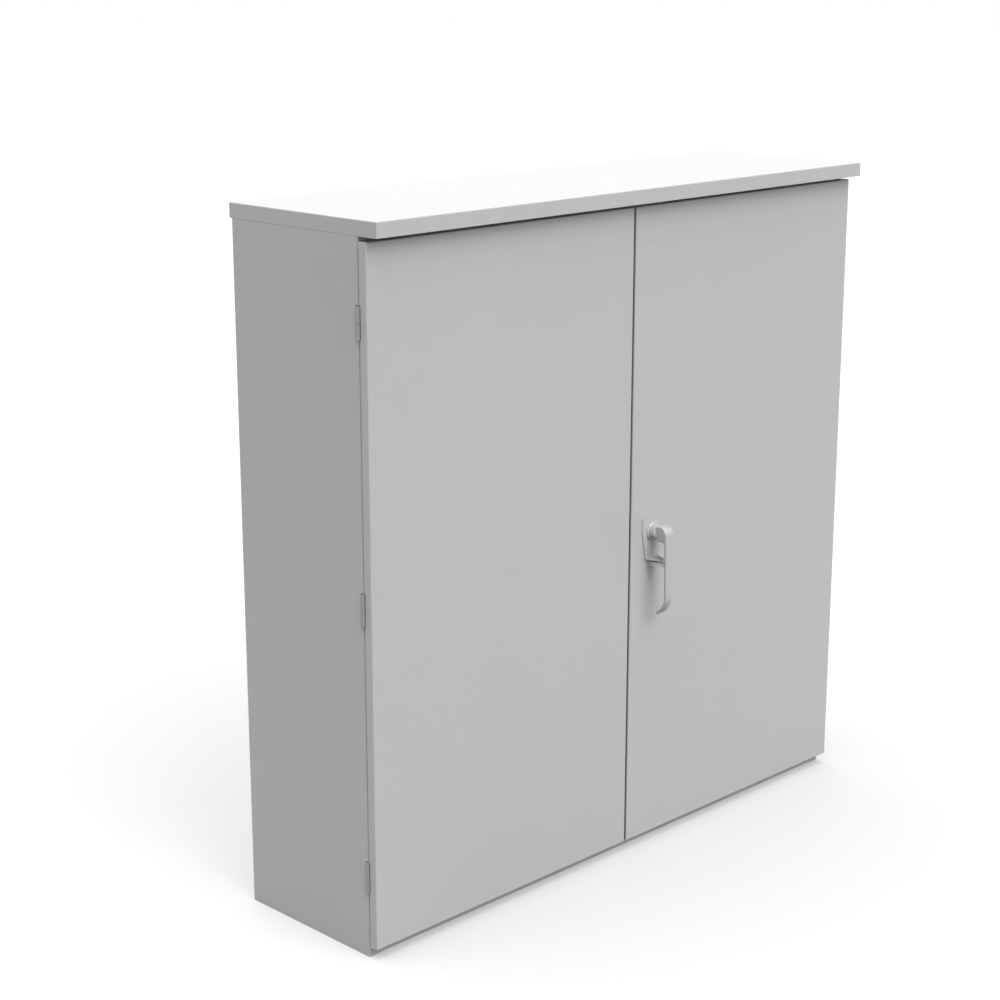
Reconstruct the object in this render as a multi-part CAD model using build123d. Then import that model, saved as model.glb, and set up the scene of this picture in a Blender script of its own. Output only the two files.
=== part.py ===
"""Roadside utility cabinet with two hinged doors, a canopy roof and a padlockable lever handle.

Lengths are in millimetres. The origin is the centre of the body's footprint on the ground,
+Z is up and the doors face -Y.
"""

import math
import os

from build123d import *

# Body: the outside of the folded box, its sheet and the outer radius of its folds.
BODY_WIDTH = 1200.0
BODY_DEPTH = 300.0
BODY_HEIGHT = 1170.0
SHEET = 1.5
BODY_BEND = 3.0
BACK_FLANGE = 25.0
TOP_FLANGE = 25.0

# Door frame: the flange round the opening, its forward lip, the header and the sill.
FRAME_FLANGE = 26.0
FRAME_LIP = 8.0
LIP_BREAK_AIR = 3.0
HEADER_DEPTH = 36.0
SILL_HEIGHT = 50.0

# Base rails and the anchor holes in them.
BASE_SHEET = 2.5
BASE_BEND = 4.0
BASE_FOOT = 50.0
BASE_UPSTAND = 40.0
ANCHOR_RADIUS = 7.0
ANCHOR_END = 35.0

# Roof: the canopy tray, its bearers and its studs.
ROOF_FASCIA = 25.0
ROOF_GAP = 0.3
ROOF_FRONT = 24.0
ROOF_BACK = 4.0
ROOF_HEM = 12.0
ROOF_BEND = 2.0
BEARER_CROWN = 40.0
BEARER_FOOT = 20.0
BEARER_INSET = 40.0
BEARER_AIR = 7.0
BEARER_BEND = 3.0
ROOF_STUD_RADIUS = 4.0
ROOF_STUD_INSET = 120.0
ROOF_STUD_DROP = 14.0
ROOF_NUT_RADIUS = 7.5
ROOF_NUT_HEIGHT = 6.5

# Rivets that hold the back panel to the side panels' rear flanges.
RIVET_RADIUS = 2.4
RIVET_HEAD_RADIUS = 4.8
RIVET_HEAD_HEIGHT = 1.8
RIVET_TAIL = 3.0
RIVET_END = 60.0
RIVET_COUNT = 5

# Mounting plate inside, on two hat rails, with countersunk screws.
RAIL_INSET = 170.0
RAIL_CROWN = 40.0
RAIL_FOOT = 20.0
RAIL_DEPTH = 32.0
RAIL_SHEET = 2.0
RAIL_BEND = 3.0
RAIL_BOTTOM = 62.0
RAIL_TOP_DROP = 46.0
PLATE_INSET = 70.0
PLATE_CORNER = 12.0
PLATE_BOTTOM = 170.0
PLATE_TOP_DROP = 70.0
PLATE_SHEET = 3.0
PLATE_SCREW_RADIUS = 3.0
PLATE_SCREW_HEAD = 5.6
PLATE_SCREW_LENGTH = 14.0
PLATE_SCREW_END = 45.0
PLATE_SCREW_ROWS = 3

# Cable rail across the mounting rails, below the plate, and its bolts.
CABLE_RAIL_AIR = 12.0
CABLE_RAIL_CROWN = 20.0
CABLE_RAIL_FOOT = 14.0
CABLE_RAIL_DEPTH = 18.0
CABLE_RAIL_OVERHANG = 90.0
CABLE_BOLT_RADIUS = 3.0
CABLE_BOLT_HEAD = 5.5
CABLE_BOLT_HEAD_HEIGHT = 4.0
CABLE_BOLT_LENGTH = 16.0

# Earth bar on two posts on the back panel.
EARTH_LENGTH = 240.0
EARTH_WIDTH = 22.0
EARTH_THICKNESS = 5.0
EARTH_AIR = 21.0
EARTH_POST_RADIUS = 8.0
EARTH_POST_LENGTH = 30.0
EARTH_POST_END = 22.0
EARTH_SCREW_RADIUS = 3.0
EARTH_SCREW_HEAD = 5.5
EARTH_SCREW_HEAD_HEIGHT = 4.0
EARTH_SCREW_COUNT = 5
EARTH_SCREW_SPACING = 32.0

# Doors: two folded trays in front of the frame.
DOOR_GAP = 2.5
DOOR_DEPTH = 16.0
DOOR_BOTTOM = 18.5
DOOR_TOP_GAP = 7.5
MEETING_GAP = 5.0
DOOR_HEM = 12.0
DOOR_BEND = 1.8
CORNER_RELIEF = 1.6
STIFFENER_CROWN = 50.0
STIFFENER_FOOT = 18.0
STIFFENER_DEPTH = 10.0
STIFFENER_END = 62.0
STIFFENER_BEND = 3.0
SEAL_WIDTH = 12.0
SEAL_AIR = 0.3
MEETING_SEAL_INSET = 2.0
MEETING_SEAL_DEPTH = 10.0
MEETING_SEAL_AIR = 0.4
MEETING_SEAL_END = 4.0

# Lift-off hinges in notches across the gap between body and door.
HINGE_END = 122.0
HINGE_HEIGHT = 52.0
HINGE_SET = 1.0
HINGE_SPLIT = 0.4
KNUCKLE_RADIUS = 4.5
PIN_RADIUS = 2.5
RUNNING_CLEARANCE = 0.05
LEAF_THICKNESS = 3.0
LEAF_LENGTH = 34.0
NOTCH_CLEARANCE = 1.0

# Sliding bolts on the left door.
BOLT_INSET = 32.0
BOLT_RADIUS = 5.0
BOLT_GRIP = 12.0
BOLT_FRAME_AIR = 1.5
BOLT_BRACKET_DROP = 26.0
BOLT_BRACKET_HEIGHT = 34.0
BOLT_BRACKET_WIDTH = 22.0
BOLT_BRACKET_WALL = 5.0
BOLT_BRACKET_SHEET = 3.0
BOLT_BRACKET_BEND = 4.0
BOLT_BRACKET_CORNER = 6.0
BOLT_TAIL = 34.0
BOLT_KNOB_RADIUS = 3.5
BOLT_KNOB_REACH = 22.0
BOLT_KNOB_END = 9.0
BOLT_NOSE = 1.5

# Handle: the axis, the folded plate with the padlock shelf, and the collar.
HANDLE_X = 56.0
PLATE_HALF = 26.0
PLATE_RISE = 26.0
PLATE_FOOT_HALF = 17.0
PLATE_DROP = 49.0
HANDLE_SHEET = 3.0
HANDLE_BEND = 4.0
HANDLE_CORNER = 3.0
HANDLE_EDGE = 0.8
SHELF_REACH = 15.0
SHELF_END_RADIUS = 9.0
PADLOCK_RADIUS = 4.5
COLLAR_RADIUS = 16.5
COLLAR_HEIGHT = 4.0
COLLAR_ROUND = 2.5
HANDLE_SCREW_RADIUS = 2.5
HANDLE_SCREW_HEAD = 4.5
HANDLE_SCREW_HEAD_HEIGHT = 3.0
HANDLE_SCREW_DEPTH = 2.5
HANDLE_SCREW_SIDE = 17.5
HANDLE_SCREW_RISE = 16.0
HANDLE_SCREW_DROP = 30.0
SCREW_CLEARANCE = 0.1

# Lever: heights above the door's face, and its outline seen from the front and the side.
LEVER_AIR = 0.3
HUB_RADIUS = 13.5
HUB_CHAMFER = 2.8
JOURNAL_RADIUS = 10.0
HEAD_LOW = 20.0
LEVER_HEIGHT = 43.0
STRAP_THICKNESS = 5.0
HEAD_HALF = 10.5
HEAD_RISE = 10.5
HEAD_DROP = 11.5
NOSE_FLAT = 3.0
HEAD_FILLET = 7.0
LEVER_REACH = 151.0
CURL_RADIUS = 37.0
CURL_ANGLE = 64.0
STRAP_END_HALF = 7.0
STRAP_END_CORNER = 5.0
LEVER_EDGE = 1.5
SOCKET_DEPTH = 12.0

# Padlock lug under the shelf, on the back of the strap.
LUG_GAP = 4.0
LUG_THICKNESS = 5.0
LUG_RADIUS = 14.5

# Rack-and-pinion lock behind the right door.
TOOTH_MODULE = 2.0
TOOTH_COUNT = 12
PRESSURE_ANGLE = 25.0
ADDENDUM_SHARE = 1.0
DEDENDUM_SHARE = 1.25
FLANK_STEPS = 4
BACKLASH = 0.15
RACK_TEETH_BELOW = 2
RACK_TEETH_ABOVE = 5
RACK_BACK = 7.5
RACK_END = 13.0
ROD_HALF = 8.0
ROD_THICKNESS = 6.0
ROD_FRAME_AIR = 2.5
ROD_GRIP = 14.0
ROD_LEAD = 3.0
ROD_AIR = 0.2
BRIDGE_RISE = 38.0
BRIDGE_HEIGHT = 14.0
SPINDLE_SIDE = 8.0
SPINDLE_REACH = 14.0
PINION_JOURNAL = 8.0
HOUSING_HALF = 29.0
HOUSING_RISE = 45.0
HOUSING_WALL = 4.0
HOUSING_CORNER = 3.5
HOUSING_EAR = 17.0
HOUSING_EAR_HALF = 12.0
HOUSING_STUD_RADIUS = 3.0
HOUSING_STUD_LENGTH = 11.0
HOUSING_NUT_RADIUS = 5.5
HOUSING_NUT_HEIGHT = 5.0
COVER_THICKNESS = 2.5
COVER_SCREW_RADIUS = 2.0
COVER_SCREW_HEAD = 3.4
COVER_SCREW_HEAD_HEIGHT = 2.2
COVER_SCREW_DEPTH = 9.0
COVER_SCREW_SIDE = 25.6
COVER_SCREW_RISE = 38.0
SPINDLE_SCREW_RADIUS = 2.5
SPINDLE_SCREW_HEAD = 9.5
SPINDLE_SCREW_HEAD_HEIGHT = 3.5
SPINDLE_SCREW_DEPTH = 14.0

# Guides of the lock rods; the upper one is held by two flush rivets through the door.
GUIDE_DROP = 63.8
GUIDE_HALF = 18.0
GUIDE_RISE = 9.0
GUIDE_WALL = 4.0
GUIDE_FOOT = 5.0
GUIDE_CORNER = 2.5
GUIDE_RIVET_SIDE = 6.45
GUIDE_RIVET_RADIUS = 2.0
GUIDE_RIVET_HEAD = 3.4
GUIDE_RIVET_DEPTH = 9.0
GUIDE_RIVET_SINK = 0.15

# Cuts run past the faces that they open by this much; corners closer than TOUCH are the same.
OVERRUN = 1.0
TOUCH = 0.01

# Planes and positions that follow from the sizes above.
SIDE = BODY_WIDTH / 2
FRONT = -BODY_DEPTH / 2
BACK = BODY_DEPTH / 2
BACK_INNER = BACK - 2 * SHEET
LIP_OUTER = SIDE - FRAME_FLANGE
LIP_INNER = LIP_OUTER - SHEET
HEADER_LOW = BODY_HEIGHT - HEADER_DEPTH
DOOR_BACK = FRONT - DOOR_GAP
DOOR_FACE = DOOR_BACK - DOOR_DEPTH
DOOR_INNER = DOOR_FACE + SHEET
DOOR_TOP = BODY_HEIGHT - DOOR_TOP_GAP
DOOR_MIDDLE = (DOOR_TOP + DOOR_BOTTOM) / 2
MEETING_SIDE = MEETING_GAP / 2
LIP_BREAK = MEETING_SIDE + DOOR_HEM + LIP_BREAK_AIR
ROOF_LOW = BODY_HEIGHT + ROOF_GAP
ROOF_HIGH = ROOF_LOW + ROOF_FASCIA
BEARER_SETBACK = ROOF_HEM + BEARER_AIR + BEARER_FOOT + BEARER_CROWN / 2
BEARER_PLACE = BACK + ROOF_BACK - BEARER_SETBACK
HINGE_HEIGHTS = (DOOR_BOTTOM + HINGE_END, DOOR_MIDDLE, DOOR_TOP - HINGE_END)
HINGE_Y = FRONT + HINGE_SET
NOTCH_REACH = KNUCKLE_RADIUS + NOTCH_CLEARANCE
NOTCH_HALF = HINGE_HEIGHT / 2 + NOTCH_CLEARANCE
NOTCH_INNER = SIDE - SHEET - LEAF_THICKNESS - NOTCH_CLEARANCE
RAIL_SIDE = SIDE - RAIL_INSET
RAIL_FRONT = BACK_INNER - RAIL_DEPTH - RAIL_SHEET
RAIL_TOP = BODY_HEIGHT - RAIL_TOP_DROP
PLATE_TOP = BODY_HEIGHT - PLATE_TOP_DROP
CABLE_RAIL_HALF = CABLE_RAIL_CROWN / 2 + CABLE_RAIL_FOOT
CABLE_RAIL_HEIGHT = PLATE_BOTTOM - CABLE_RAIL_AIR - CABLE_RAIL_HALF
EARTH_HEIGHT = CABLE_RAIL_HEIGHT - CABLE_RAIL_HALF - EARTH_AIR - EARTH_WIDTH / 2
PITCH_RADIUS = TOOTH_MODULE * TOOTH_COUNT / 2
TOOTH_PITCH = math.pi * TOOTH_MODULE
RACK_ROOT = PITCH_RADIUS + DEDENDUM_SHARE * TOOTH_MODULE
RACK_TIP = PITCH_RADIUS - ADDENDUM_SHARE * TOOTH_MODULE
RACK_OUTER = RACK_ROOT + RACK_BACK
ROD_FRONT = FRONT + SHEET + ROD_FRAME_AIR
ROD_BACK = ROD_FRONT + ROD_THICKNESS
ROD_REACH = HEADER_LOW + ROD_GRIP - DOOR_MIDDLE
POCKET_FLOOR = ROD_FRONT - ROD_AIR
COVER_FRONT = ROD_BACK + ROD_AIR
COVER_BACK = COVER_FRONT + COVER_THICKNESS
GUIDE_HEIGHT = DOOR_TOP - GUIDE_DROP - DOOR_MIDDLE
PADLOCK_OUT = HANDLE_SHEET + SHELF_REACH


def block(x_limits, y_limits, z_limits):
    """Box between two limits along each axis."""
    limits = (x_limits, y_limits, z_limits)
    sizes = [high - low for low, high in limits]
    middles = [(high + low) / 2 for low, high in limits]
    return Pos(*middles) * Box(*sizes)


def upright(radius, x, y, z_limits):
    """Round bar along Z."""
    low, high = z_limits
    return Pos(x, y, (low + high) / 2) * Cylinder(radius, high - low)


def level(radius, x, z, y_limits):
    """Round bar along Y."""
    low, high = y_limits
    return Pos(x, (low + high) / 2, z) * Rot(90, 0, 0) * Cylinder(radius, high - low)


def hex_level(radius, x, z, y_limits):
    """Hexagonal head along Y, by the radius of its corners."""
    low, high = y_limits
    return slab_xz(Pos(x, z) * RegularPolygon(radius, 6), low, high)


def slab_xz(sketch, y_low, y_high):
    """Outline drawn in X and Z, thickened between two Y planes."""
    return extrude(Plane.XZ.offset(-y_high) * sketch, amount=y_high - y_low)


def slab_yz(sketch, x_low, x_high):
    """Outline drawn in Y and Z, thickened between two X planes."""
    return extrude(Plane.YZ.offset(x_low) * sketch, amount=x_high - x_low)


def slab_xy(sketch, z_low, z_high):
    """Outline drawn in X and Y, thickened between two Z planes."""
    return extrude(Pos(0, 0, z_low) * sketch, amount=z_high - z_low)


def outline(points):
    """Face inside a closed chain of straight lines."""
    return make_face(Polyline(*points, close=True))


def folded(points, thickness, bend):
    """Section of a sheet folded along a path, on the path's right; bend is the outer radius."""
    steps = [(b[0] - a[0], b[1] - a[1]) for a, b in zip(points, points[1:])]
    lengths = [math.hypot(*step) for step in steps]
    normals = [(dy / size, -dx / size) for (dx, dy), size in zip(steps, lengths)]
    inner = []
    for place, point in enumerate(points):
        before = normals[max(place - 1, 0)]
        after = normals[min(place, len(normals) - 1)]
        spread = thickness / (1 + before[0] * after[0] + before[1] * after[1])
        inner.append((point[0] + spread * (before[0] + after[0]), point[1] + spread * (before[1] + after[1])))
    section = outline(list(points) + inner[::-1])
    wide, tight = [], []
    for place in range(1, len(points) - 1):
        (ax, ay), (bx, by) = steps[place - 1], steps[place]
        turns_right = ax * by - ay * bx < 0
        wide.append(points[place] if turns_right else inner[place])
        tight.append(inner[place] if turns_right else points[place])
    section = rounded(section, wide, bend)
    return rounded(section, tight, bend - thickness)


def rounded(section, corners, radius):
    """Section with the corners at the given places rounded."""
    picked = [
        vertex
        for vertex in section.vertices()
        if any(math.hypot(vertex.X - x, vertex.Y - y) < TOUCH for x, y in corners)
    ]
    return fillet(picked, radius)


def hat(middle, base, crown, foot, rise, thickness, bend):
    """Hat section along its first axis, rising to the negative side of the second one."""
    low, high = middle - crown / 2, middle + crown / 2
    path = [
        (low - foot, base),
        (low, base),
        (low, base - rise),
        (high, base - rise),
        (high, base),
        (high + foot, base),
    ]
    return folded(path, thickness, bend)


def mirrored(piece):
    """The same piece on the other side of the cabinet."""
    return mirror(piece, about=Plane.YZ)


def rivet_places():
    """Rivets of the back panel, on the right-hand side."""
    step = (BODY_HEIGHT - 2 * RIVET_END) / (RIVET_COUNT - 1)
    return [(SIDE - BACK_FLANGE / 2, RIVET_END + step * row) for row in range(RIVET_COUNT)]


def roof_stud_places():
    """Roof studs through the bearers and the top panel."""
    return [
        (side * (SIDE - ROOF_STUD_INSET), end * BEARER_PLACE)
        for side in (-1, 1)
        for end in (-1, 1)
    ]


def make_side_panel():
    """Right-hand side: folded front flange with a lip, rear flange, and notches for the hinges."""
    path = [(SIDE - BACK_FLANGE, BACK), (SIDE, BACK), (SIDE, FRONT), (LIP_INNER, FRONT)]
    panel = slab_xy(folded(path, SHEET, BODY_BEND), 0, BODY_HEIGHT)
    panel += block(
        (LIP_INNER, LIP_OUTER),
        (FRONT - FRAME_LIP, FRONT + SHEET),
        (SILL_HEIGHT - SHEET, HEADER_LOW + SHEET),
    )
    for height in HINGE_HEIGHTS:
        panel -= block(
            (NOTCH_INNER, SIDE + OVERRUN),
            (FRONT - OVERRUN, HINGE_Y + NOTCH_REACH),
            (height - NOTCH_HALF, height + NOTCH_HALF),
        )
    for x, z in rivet_places():
        panel -= level(RIVET_RADIUS, x, z, (BACK_INNER, BACK + OVERRUN))
    return panel


def make_back_panel():
    """Flat sheet inside the rear flanges of the sides."""
    reach = SIDE - BODY_BEND
    panel = block((-reach, reach), (BACK_INNER, BACK - SHEET), (0, BODY_HEIGHT))
    for x, z in rivet_places():
        for side in (-1, 1):
            panel -= level(RIVET_RADIUS, side * x, z, (BACK_INNER - OVERRUN, BACK))
    return panel


def make_back_rivets():
    """Rivets through the rear flanges and the back panel."""
    rivets = []
    for x, z in rivet_places():
        for side in (-1, 1):
            shank = level(RIVET_RADIUS, side * x, z, (BACK_INNER - RIVET_TAIL, BACK))
            head = level(RIVET_HEAD_RADIUS, side * x, z, (BACK, BACK + RIVET_HEAD_HEIGHT))
            rivets.append(shank + head)
    return Compound(children=rivets)


def frame_lip(z_limits):
    """Forward lip along X, broken in the middle where the edges of the doors pass."""
    depth = (FRONT - FRAME_LIP, FRONT + SHEET)
    lip = block((LIP_BREAK, LIP_INNER), depth, z_limits)
    return lip + mirrored(lip)


def make_top_panel():
    """Top sheet folded down all round, with the header flange and its lip at the front."""
    path = [
        (FRONT, HEADER_LOW),
        (FRONT, BODY_HEIGHT),
        (BACK_INNER, BODY_HEIGHT),
        (BACK_INNER, BODY_HEIGHT - TOP_FLANGE),
    ]
    panel = slab_yz(folded(path, SHEET, BODY_BEND), -LIP_INNER, LIP_INNER)
    panel += frame_lip((HEADER_LOW, HEADER_LOW + SHEET))
    depth = (FRONT + BODY_BEND, BACK_INNER - BODY_BEND)
    wing = block((LIP_INNER - OVERRUN, SIDE - SHEET), depth, (BODY_HEIGHT - SHEET, BODY_HEIGHT))
    wing += block((SIDE - 2 * SHEET, SIDE - SHEET), depth, (BODY_HEIGHT - TOP_FLANGE, BODY_HEIGHT))
    panel += wing
    panel += mirrored(wing)
    for x, y in roof_stud_places():
        panel -= upright(
            ROOF_STUD_RADIUS + SCREW_CLEARANCE, x, y, (BODY_HEIGHT - SHEET - OVERRUN, BODY_HEIGHT + OVERRUN)
        )
    return panel


def make_roof():
    """Canopy tray, hemmed at the front and the back, with four welded studs."""
    near, far = DOOR_FACE - ROOF_FRONT, BACK + ROOF_BACK
    tray = block((-SIDE, SIDE), (near, far), (ROOF_LOW, ROOF_HIGH))
    tray = fillet(tray.faces().sort_by(Axis.Z)[-1].edges(), ROOF_BEND)
    reach = SIDE - SHEET
    tray -= block((-reach, reach), (near + SHEET, far - SHEET), (ROOF_LOW - OVERRUN, ROOF_HIGH - SHEET))
    for edge, inner in ((near + SHEET, near + ROOF_HEM), (far - SHEET, far - ROOF_HEM)):
        tray += block((-reach, reach), sorted((edge, inner)), (ROOF_LOW, ROOF_LOW + SHEET))
    for x, y in roof_stud_places():
        tray += upright(ROOF_STUD_RADIUS, x, y, (BODY_HEIGHT - ROOF_STUD_DROP, ROOF_HIGH - SHEET))
    return tray


def make_roof_bearer(end):
    """Hat rail along X between the top panel and the roof."""
    rise = ROOF_HIGH - SHEET - BODY_HEIGHT - SHEET
    section = hat(end * BEARER_PLACE, 0, BEARER_CROWN, BEARER_FOOT, rise, SHEET, BEARER_BEND)
    section = Pos(0, BODY_HEIGHT) * mirror(section, about=Plane.XZ)
    reach = SIDE - BEARER_INSET
    bearer = slab_yz(section, -reach, reach)
    for x, y in roof_stud_places():
        bearer -= upright(ROOF_STUD_RADIUS + SCREW_CLEARANCE, x, y, (BODY_HEIGHT, ROOF_HIGH))
    return bearer


def make_roof_nuts():
    """Nuts on the roof studs, below the top panel."""
    under = BODY_HEIGHT - SHEET
    nuts = []
    for x, y in roof_stud_places():
        limits = (under - ROOF_NUT_HEIGHT, under)
        nut = slab_xy(Pos(x, y) * RegularPolygon(ROOF_NUT_RADIUS, 6), *limits)
        nuts.append(nut - upright(ROOF_STUD_RADIUS + RUNNING_CLEARANCE, x, y, limits))
    return Compound(children=nuts)


def make_front_sill():
    """Front base rail: a web in the body's front plane, a foot, and a lip for the door seals."""
    foot_end = SIDE - SHEET - BASE_FOOT
    path = [(FRONT + BASE_FOOT, 0), (FRONT, 0), (FRONT, SILL_HEIGHT)]
    sill = slab_yz(folded(path, BASE_SHEET, BASE_BEND), -LIP_INNER, LIP_INNER)
    sill += frame_lip((SILL_HEIGHT - SHEET, SILL_HEIGHT))
    for side in (-1, 1):
        sill -= block(
            sorted((side * foot_end, side * SIDE)),
            (FRONT + BASE_BEND, FRONT + BASE_FOOT + OVERRUN),
            (-OVERRUN, BASE_SHEET + OVERRUN),
        )
    return sill


def make_rear_rail():
    """Rear base rail between the side rails."""
    reach = SIDE - SHEET - BASE_FOOT
    path = [(BACK_INNER, BASE_UPSTAND), (BACK_INNER, 0), (BACK_INNER - BASE_FOOT, 0)]
    return slab_yz(folded(path, BASE_SHEET, BASE_BEND), -reach, reach)


def make_side_rail():
    """Right-hand base rail with two anchor holes."""
    outer = SIDE - SHEET
    path = [(outer, BASE_UPSTAND), (outer, 0), (outer - BASE_FOOT, 0)]
    ends = (FRONT + max(BODY_BEND, BASE_BEND), BACK_INNER - BODY_BEND)
    rail = slab_xz(folded(path, BASE_SHEET, BASE_BEND), *ends)
    for end in (-1, 1):
        rail -= upright(
            ANCHOR_RADIUS,
            outer - BASE_FOOT / 2,
            end * (BACK - ANCHOR_END),
            (-OVERRUN, BASE_SHEET + OVERRUN),
        )
    return rail


def plate_screw_places():
    """Countersunk screws of the mounting plate."""
    low, high = PLATE_BOTTOM + PLATE_SCREW_END, PLATE_TOP - PLATE_SCREW_END
    step = (high - low) / (PLATE_SCREW_ROWS - 1)
    return [
        (side * RAIL_SIDE, low + step * row)
        for side in (-1, 1)
        for row in range(PLATE_SCREW_ROWS)
    ]


def plate_screw(x, z, clearance, reach):
    """Countersunk screw, or with a clearance the hole that it takes."""
    face = RAIL_FRONT - PLATE_SHEET
    sink = PLATE_SCREW_HEAD - PLATE_SCREW_RADIUS
    cone = Cone(PLATE_SCREW_RADIUS + clearance, PLATE_SCREW_HEAD + clearance, sink)
    head = Pos(x, face + sink / 2, z) * Rot(90, 0, 0) * cone
    return head + level(PLATE_SCREW_RADIUS + clearance, x, z, (face, face + reach))


def make_mounting_rail(side):
    """Hat rail on the back panel that carries the mounting plate."""
    middle = side * RAIL_SIDE
    section = hat(middle, BACK_INNER, RAIL_CROWN, RAIL_FOOT, RAIL_DEPTH, RAIL_SHEET, RAIL_BEND)
    rail = slab_xy(section, RAIL_BOTTOM, RAIL_TOP)
    crown = (RAIL_FRONT - OVERRUN, RAIL_FRONT + RAIL_SHEET + OVERRUN)
    for x, z in plate_screw_places():
        if x * side > 0:
            rail -= level(PLATE_SCREW_RADIUS + SCREW_CLEARANCE, x, z, crown)
    return rail - level(CABLE_BOLT_RADIUS + SCREW_CLEARANCE, middle, CABLE_RAIL_HEIGHT, crown)


def make_mounting_plate():
    """Flat plate for the equipment, with cut corners and countersunk holes."""
    reach = SIDE - PLATE_INSET
    plate = block((-reach, reach), (RAIL_FRONT - PLATE_SHEET, RAIL_FRONT), (PLATE_BOTTOM, PLATE_TOP))
    plate = chamfer(plate.edges().filter_by(Axis.Y), PLATE_CORNER)
    for x, z in plate_screw_places():
        plate -= plate_screw(x, z, SCREW_CLEARANCE, PLATE_SHEET + OVERRUN)
    return plate


def make_plate_screws():
    """Screws of the mounting plate, flush with its face."""
    screws = [plate_screw(x, z, 0, PLATE_SCREW_LENGTH) for x, z in plate_screw_places()]
    return Compound(children=screws)


def make_cable_rail():
    """Hat rail for cable clamps, across the mounting rails."""
    reach = RAIL_SIDE + CABLE_RAIL_OVERHANG
    crown, foot, depth = CABLE_RAIL_CROWN, CABLE_RAIL_FOOT, CABLE_RAIL_DEPTH
    section = hat(CABLE_RAIL_HEIGHT, 0, crown, foot, depth, SHEET, BEARER_BEND)
    crossed = Pos(RAIL_FRONT, 0) * Rot(0, 0, 90) * mirror(section, about=Plane.XZ)
    rail = slab_yz(crossed, -reach, reach)
    for side in (-1, 1):
        rail -= level(
            CABLE_BOLT_RADIUS + SCREW_CLEARANCE,
            side * RAIL_SIDE,
            CABLE_RAIL_HEIGHT,
            (RAIL_FRONT - CABLE_RAIL_DEPTH - SHEET - OVERRUN, RAIL_FRONT),
        )
    return rail


def make_cable_bolts():
    """Bolts that hold the cable rail's crown to the mounting rails."""
    face = RAIL_FRONT - CABLE_RAIL_DEPTH - SHEET
    bolts = []
    for side in (-1, 1):
        x = side * RAIL_SIDE
        head = hex_level(CABLE_BOLT_HEAD, x, CABLE_RAIL_HEIGHT, (face - CABLE_BOLT_HEAD_HEIGHT, face))
        shank = level(CABLE_BOLT_RADIUS, x, CABLE_RAIL_HEIGHT, (face, RAIL_FRONT + CABLE_BOLT_LENGTH))
        bolts.append(head + shank)
    return Compound(children=bolts)


def earth_screw_places():
    """Terminal screws along the earth bar."""
    middle = (EARTH_SCREW_COUNT - 1) / 2
    return [(column - middle) * EARTH_SCREW_SPACING for column in range(EARTH_SCREW_COUNT)]


def make_earth_bar():
    """Flat earth bar with a row of tapped holes."""
    back = BACK_INNER - EARTH_POST_LENGTH
    bar = block(
        (-EARTH_LENGTH / 2, EARTH_LENGTH / 2),
        (back - EARTH_THICKNESS, back),
        (EARTH_HEIGHT - EARTH_WIDTH / 2, EARTH_HEIGHT + EARTH_WIDTH / 2),
    )
    for x in earth_screw_places():
        through = (back - EARTH_THICKNESS - OVERRUN, back + OVERRUN)
        bar -= level(EARTH_SCREW_RADIUS + RUNNING_CLEARANCE, x, EARTH_HEIGHT, through)
    return bar


def make_earth_posts():
    """Insulated posts between the back panel and the earth bar."""
    reach = EARTH_LENGTH / 2 - EARTH_POST_END
    depth = (BACK_INNER - EARTH_POST_LENGTH, BACK_INNER)
    posts = [level(EARTH_POST_RADIUS, side * reach, EARTH_HEIGHT, depth) for side in (-1, 1)]
    return Compound(children=posts)


def make_earth_screws():
    """Terminal screws in the earth bar."""
    back = BACK_INNER - EARTH_POST_LENGTH
    face = back - EARTH_THICKNESS
    screws = []
    for x in earth_screw_places():
        head = hex_level(EARTH_SCREW_HEAD, x, EARTH_HEIGHT, (face - EARTH_SCREW_HEAD_HEIGHT, face))
        screws.append(head + level(EARTH_SCREW_RADIUS, x, EARTH_HEIGHT, (face, back)))
    return Compound(children=screws)


def hinge_frame_half(height):
    """Right-hand hinge's lower knuckle, with its leaf on the side panel."""
    leaf_x = (SIDE - SHEET - LEAF_THICKNESS, SIDE - SHEET)
    leaf_y = (HINGE_Y + NOTCH_REACH, HINGE_Y + LEAF_LENGTH)
    lower = (height - HINGE_HEIGHT / 2, height - HINGE_SPLIT / 2)
    half = block(leaf_x, leaf_y, (lower[0], height + HINGE_HEIGHT / 2))
    half += block(leaf_x, (HINGE_Y, HINGE_Y + NOTCH_REACH), lower)
    half += upright(KNUCKLE_RADIUS, SIDE, HINGE_Y, lower)
    return half - upright(PIN_RADIUS + RUNNING_CLEARANCE, SIDE, HINGE_Y, (lower[0] - OVERRUN, height))


def hinge_door_half(height):
    """Right-hand hinge's upper knuckle, with its leaf inside the door's return."""
    leaf_x = (SIDE - SHEET - LEAF_THICKNESS, SIDE - SHEET)
    upper = (height + HINGE_SPLIT / 2, height + HINGE_HEIGHT / 2)
    half = block(
        leaf_x,
        (DOOR_INNER + NOTCH_CLEARANCE, HINGE_Y - NOTCH_REACH),
        (height - HINGE_HEIGHT / 2, upper[1]),
    )
    half += block(leaf_x, (HINGE_Y - NOTCH_REACH, HINGE_Y), upper)
    half += upright(KNUCKLE_RADIUS, SIDE, HINGE_Y, upper)
    return half - upright(PIN_RADIUS + RUNNING_CLEARANCE, SIDE, HINGE_Y, (height, upper[1] + OVERRUN))


def make_hinge_pins():
    """Pins of the three right-hand hinges."""
    half = HINGE_HEIGHT / 2
    limits = [(height - half, height + half) for height in HINGE_HEIGHTS]
    return Compound(children=[upright(PIN_RADIUS, SIDE, HINGE_Y, ends) for ends in limits])


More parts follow.
